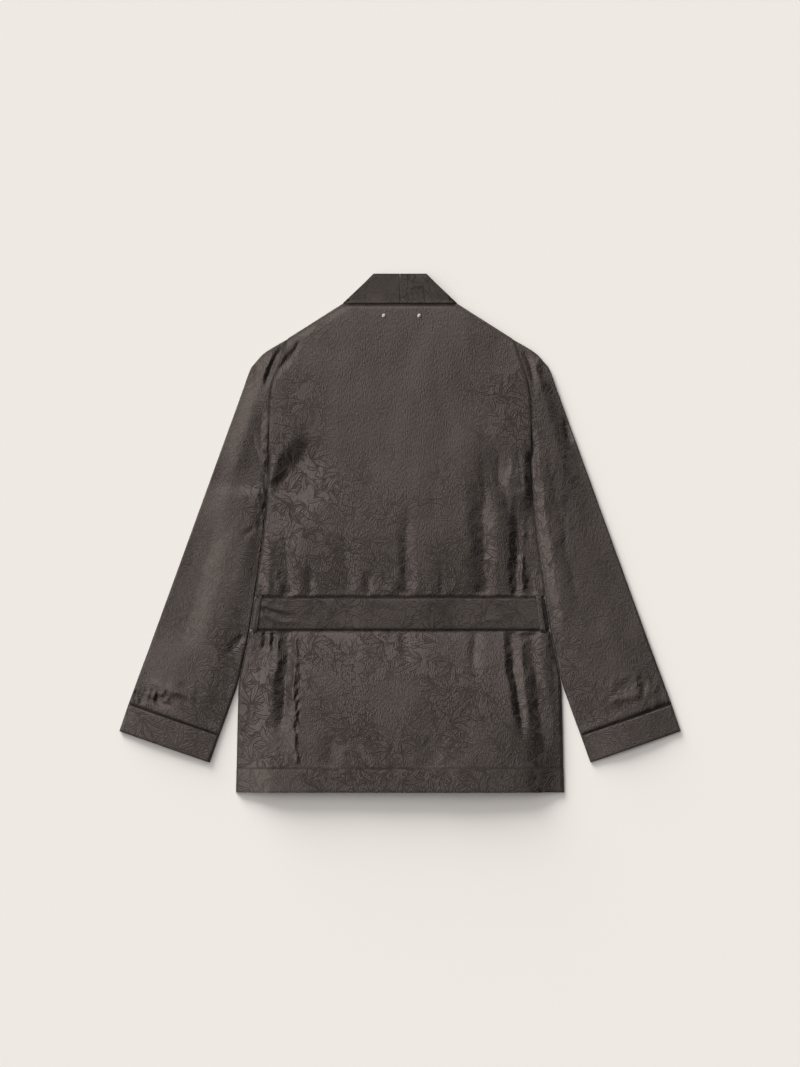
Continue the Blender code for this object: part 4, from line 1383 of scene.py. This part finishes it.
class JACKET_OT_belt(Operator):
    """Sash round the waist, and the loops at the side seams that hold it"""

    bl_idname = "jacket.belt"
    bl_label = "Belt and loops"

    def execute(self, context):
        step = context.scene.jacket_folds.grid / MM
        satin = finish("jacquard satin", jacquard_satin)
        path = belt_path(step)
        out = square_to(path)
        across = BELT_WIDTH * spaced(-0.5, 0.5, 1.0 / 22)
        swell = np.sqrt(np.clip(1.0 - (np.abs(across) / (BELT_WIDTH / 2)) ** 14, 0.04, 1.0))
        slant = through(SIDE_LINE, WAIST_Y + across) / through(SIDE_LINE, WAIST_Y)
        on_back = (path[:, 1] > 4.0)[:, None]
        rings = []
        for sign, order in ((1, slice(None)), (-1, slice(None, None, -1))):
            shift = sign * BELT_WALL / 2 * swell[None, :]
            x = path[:, :1] * slant[None, :] + out[:, :1] * shift
            y = np.broadcast_to(WAIST_Y + across[None, :], x.shape)
            crease = fold_rise(x, y, BELT_FOLDS) + 0.5 * ripple(x, y, 31.0)
            creased = np.where(on_back & (sign > 0), np.maximum(crease, -1.0), 0.0)
            z = path[:, 1:] + out[:, 1:] * shift + creased
            rings.append(np.stack([x, y, z], axis=-1)[:, order])
        grid = np.concatenate(rings, axis=1)
        girth = np.concatenate([across, across[::-1] + 60.0, across[:1] + 120.0])
        weave = np.stack(np.meshgrid(girth + BELT_CUT, run_along(path)), axis=-1) * MM
        # Painted shade: the belt, cut across the grain, has its colour darkened all over
        made = cloth_object(
            "belt_sash",
            grid,
            weave,
            satin,
            around=True,
            capped=True,
            painted_shade=CROSS_GRAIN_SHADE,
            bloom=FAINT_FIGURE,
        )
        keep_cloth(made, "belt")
        for name, side in SIDES:
            self.loop(satin, name, side, LOOP_WIDTHS[name])
        return {"FINISHED"}

    def loop(self, satin, name, side, width):
        """A narrow strap over the belt, sewn down above and below it."""
        reach = BELT_WIDTH / 2
        offsets = np.concatenate([-reach - LOOP_ENDS[::-1], spaced(-reach, reach, 2.0), reach + LOOP_ENDS])
        shares = np.linspace(0.0, 1.0, 9)
        across = (waist_half() - 1.0 - width * shares)[None, :]
        x = across * (through(SIDE_LINE, WAIST_Y + offsets) / through(SIDE_LINE, WAIST_Y))[:, None]
        y = np.broadcast_to((WAIST_Y + offsets)[:, None], x.shape)
        lift = plateau(np.abs(offsets), reach + 0.6, reach + 4.4)[:, None]
        ground = back_top(np.broadcast_to(across, x.shape), np.full(x.shape, WAIST_Y), False)
        low = ground + 0.3 + (AIR + BELT_WALL + 0.2) * lift
        roll = 0.35 * np.sqrt(np.clip(1.0 - (2 * shares - 1.0) ** 8, 0.0, 1.0))[None, :]
        top = np.stack([side * x, y, low + LOOP_WALL + roll], axis=-1)
        under = np.stack([side * x, y, low], axis=-1)
        grid = np.concatenate([top, under[:, ::-1]], axis=1)
        girth = np.concatenate([shares * width, shares * width + 14.0, [28.0]])
        weave = np.stack(np.meshgrid(girth + LOOP_CUT, offsets + 40.0 * side), axis=-1) * MM
        # Painted shadow: the left loop lies in shadow beside the sleeve, so its colour takes the cross-grain
        # shade; the right one takes none
        shaded = 0.0 if side > 0 else CROSS_GRAIN_SHADE
        made = cloth_object("belt_strap_" + name, grid, weave, satin, around=True, capped=True, painted_shade=shaded)
        keep_cloth(made, "belt_loop", name)


class JACKET_OT_studs(Operator):
    """Small domed studs below the collar, each with a rolled rim"""

    bl_idname = "jacket.studs"
    bl_label = "Studs"

    def execute(self, context):
        steel = finish("nickel-plated steel", polished_steel)
        turn = np.arange(STUD_SIDES) * 2 * math.pi / STUD_SIDES
        for name in ("left", "right"):
            low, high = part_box("stud_" + name)
            x, y = ((low[k] + high[k]) / 2 / MM for k in (0, 1))
            radius = (high[0] - low[0]) / 2 / MM * STUD_SHARE
            foot = float(back_top(np.array([x]), np.array([y]))[0])
            builder = bmesh.new()
            rings = []
            for share, height in STUD_PROFILE:
                out = radius * share
                spots = [(x + out * math.cos(a), y + out * math.sin(a), foot + height) for a in turn]
                rings.append([builder.verts.new(Vector(spot) * MM) for spot in spots])
            for lower, upper in zip(rings, rings[1:]):
                for k in range(STUD_SIDES):
                    builder.faces.new((lower[k - 1], lower[k], upper[k], upper[k - 1]))
            builder.faces.new(rings[0][::-1])
            builder.faces.new(rings[-1])
            mesh = bpy.data.meshes.new("stud_dome_" + name)
            builder.to_mesh(mesh)
            builder.free()
            mesh.shade_smooth()
            made = linked(mesh, steel)
            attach(made, "root")
            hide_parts("stud_" + name)
        return {"FINISHED"}


def stitch_tree():
    """Geometry nodes: stitches of a named length and pitch along a line of edges."""
    tree = bpy.data.node_groups.new("stitch row", "GeometryNodeTree")
    tree.interface.new_socket("Geometry", in_out="INPUT", socket_type="NodeSocketGeometry")
    sizes = {"Pitch": STITCH_PITCH, "Stitch length": STITCH_LENGTH, "Thread": STITCH_THREAD}
    for title, value in sizes.items():
        socket = tree.interface.new_socket(title, in_out="INPUT", socket_type="NodeSocketFloat")
        socket.default_value = value
    tree.interface.new_socket("Material", in_out="INPUT", socket_type="NodeSocketMaterial")
    tree.interface.new_socket("Geometry", in_out="OUTPUT", socket_type="NodeSocketGeometry")
    given = tree.nodes.new("NodeGroupInput").outputs
    line = node(tree, "GeometryNodeMeshToCurve", {"Mesh": given["Geometry"]}).outputs[0]
    sockets = {"Curve": line, "Length": given["Pitch"]}
    spots = node(tree, "GeometryNodeCurveToPoints", sockets, mode="LENGTH").outputs
    bead = node(tree, "GeometryNodeMeshUVSphere", {"Segments": 6, "Rings": 4, "Radius": 0.5})
    sockets = {0: given["Thread"], 1: given["Thread"], 2: given["Stitch length"]}
    size = node(tree, "ShaderNodeCombineXYZ", sockets)
    sockets = {"Points": spots["Points"], "Instance": bead.outputs["Mesh"]}
    sockets.update({"Rotation": spots["Rotation"], "Scale": size.outputs[0]})
    placed = node(tree, "GeometryNodeInstanceOnPoints", sockets)
    real = node(tree, "GeometryNodeRealizeInstances", {0: placed.outputs[0]})
    sockets = {"Geometry": real.outputs[0], "Material": given["Material"]}
    dressed = node(tree, "GeometryNodeSetMaterial", sockets)
    plug(tree, tree.nodes.new("NodeGroupOutput"), {0: dressed.outputs[0]})
    return tree


class JACKET_OT_stitches(Operator):
    """Stitching along the hem seam"""

    bl_idname = "jacket.stitches"
    bl_label = "Stitches"

    def execute(self, context):
        thread = finish("mercerised cotton thread", sewing_thread)
        x = spaced(-STITCH_ROW_HALF, STITCH_ROW_HALF, 2.0)
        y = np.full(x.shape, HEM_SEAM_Y + STITCH_UP)
        z = back_top(x, y) + 0.05
        self.row("hem_stitches", np.column_stack([x, y, z]) * MM, thread)
        return {"FINISHED"}

    def row(self, name, points, thread):
        """A row of stitches along the points."""
        mesh = bpy.data.meshes.new(name + "_line")
        mesh.from_pydata(points.tolist(), [(k, k + 1) for k in range(len(points) - 1)], [])
        guide = linked(mesh)
        modifier = guide.modifiers.new("stitches", "NODES")
        tree = stitch_tree()
        modifier.node_group = tree
        sockets = {s.name: s.identifier for s in tree.interface.items_tree if s.in_out == "INPUT"}
        modifier[sockets["Material"]] = thread
        modifier[sockets["Pitch"]] = STITCH_PITCH
        graph = bpy.context.evaluated_depsgraph_get()
        made_mesh = bpy.data.meshes.new_from_object(guide.evaluated_get(graph))
        bpy.data.objects.remove(guide)
        made_mesh.name = name
        made = linked(made_mesh)
        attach(made, "root")


class JACKET_OT_stage(Operator):
    """Pale floor, low soft key light, sky that brightens to the upper left, and camera straight above"""

    bl_idname = "jacket.stage"
    bl_label = "Stage"

    def execute(self, context):
        scene = context.scene
        self.floor(scene.jacket_stage)
        scene.world = self.sky(scene.jacket_stage)
        self.key_light(scene, scene.jacket_stage)
        self.camera(scene, scene.jacket_stage)
        scene.view_settings.view_transform = "Standard"
        return {"FINISHED"}

    def floor(self, settings):
        """Matt paper, a hair below the jacket's underside."""
        paper, tree, shader = new_material("matt paper backdrop")
        plug(tree, shader, {"Base Color": settings.floor[:], "Roughness": 0.9, "Specular IOR Level": 0.1})
        builder = bmesh.new()
        bmesh.ops.create_grid(builder, x_segments=1, y_segments=1, size=FLOOR_HALF)
        mesh = bpy.data.meshes.new("floor")
        builder.to_mesh(mesh)
        builder.free()
        floor = linked(mesh, paper)
        floor.location.z = -FLOOR_DROP

    def sky(self, settings):
        """A sky that brightens to one side and fades towards the horizon."""
        world = bpy.data.worlds.new("soft sky")
        world.use_nodes = True
        tree = world.node_tree
        way = node(tree, "ShaderNodeTexCoord").outputs["Generated"]
        side = node(tree, "ShaderNodeVectorMath", {0: way, 1: SKY_SIDE}, operation="DOT_PRODUCT")
        low, high = (settings.sky_light * (1 + settings.sky_slope * end) for end in SKY_ENDS)
        sockets = {0: side.outputs["Value"], 1: SKY_ENDS[0], 2: SKY_ENDS[1], 3: low, 4: high}
        strength = node(tree, "ShaderNodeMapRange", sockets, interpolation_type="SMOOTHSTEP").outputs[0]
        up = node(tree, "ShaderNodeSeparateXYZ", {0: way}).outputs[2]
        total = maths(tree, "MULTIPLY", strength, ramp(tree, up, *HORIZON_ENDS, *HORIZON_SHARES))
        plug(tree, tree.nodes["Background"], {0: (*WARM_WHITE, 1.0), 1: total})
        return world

    def key_light(self, scene, settings):
        """A low, wide sun that lights the relief from the upper left."""
        key = bpy.data.lights.new("key", "SUN")
        key.energy = settings.key_light
        key.angle = KEY_WIDTH
        key.color = WARM_WHITE
        lamp = bpy.data.objects.new("key", key)
        level = math.cos(KEY_HEIGHT)
        toward = Vector((-math.sin(KEY_TURN) * level, math.cos(KEY_TURN) * level, math.sin(KEY_HEIGHT)))
        lamp.rotation_euler = toward.to_track_quat("Z", "Y").to_euler()
        lamp.visible_glossy = False
        scene.collection.objects.link(lamp)

    def camera(self, scene, settings):
        """A long lens straight above the jacket."""
        camera = bpy.data.cameras.new("camera")
        camera.sensor_width = SENSOR
        camera.lens = SENSOR * settings.view_height / VIEW_SPAN
        view = bpy.data.objects.new("camera", camera)
        view.location = (0.0, VIEW_SHIFT, settings.view_height)
        scene.collection.objects.link(view)
        scene.camera = view


class JACKET_PT_panel(Panel):
    """Lists the jacket's pieces and their settings"""

    bl_idname = "JACKET_PT_panel"
    bl_label = "Kimono jacket"
    bl_space_type = "VIEW_3D"
    bl_region_type = "UI"
    bl_category = "Jacket"

    def draw(self, context):
        for operator in PIECES:
            self.layout.operator(operator.bl_idname)
        for settings in (context.scene.jacket_cloth, context.scene.jacket_folds, context.scene.jacket_stage):
            box = self.layout.box()
            for name in settings.bl_rna.properties.keys():
                if name not in ("rna_type", "name"):
                    box.prop(settings, name)


PIECES = (
    JACKET_OT_body,
    JACKET_OT_sleeves,
    JACKET_OT_collar,
    JACKET_OT_belt,
    JACKET_OT_studs,
    JACKET_OT_stitches,
    JACKET_OT_stage,
)
SETTINGS = {
    "jacket_cloth": JacketClothSettings,
    "jacket_folds": JacketFoldSettings,
    "jacket_stage": JacketStageSettings,
}


def register():
    for name, group in SETTINGS.items():
        bpy.utils.register_class(group)
        setattr(bpy.types.Scene, name, PointerProperty(type=group))
    for made in (*PIECES, JACKET_PT_panel):
        bpy.utils.register_class(made)


def unregister():
    for made in reversed((*PIECES, JACKET_PT_panel)):
        bpy.utils.unregister_class(made)
    for name, group in SETTINGS.items():
        delattr(bpy.types.Scene, name)
        bpy.utils.unregister_class(group)


def main():
    register()
    bpy.ops.jacket.stage()
    bpy.ops.jacket.body()
    bpy.ops.jacket.sleeves()
    bpy.ops.jacket.collar()
    bpy.ops.jacket.belt()
    bpy.ops.jacket.studs()
    bpy.ops.jacket.stitches()


if __name__ == "__main__":
    main()
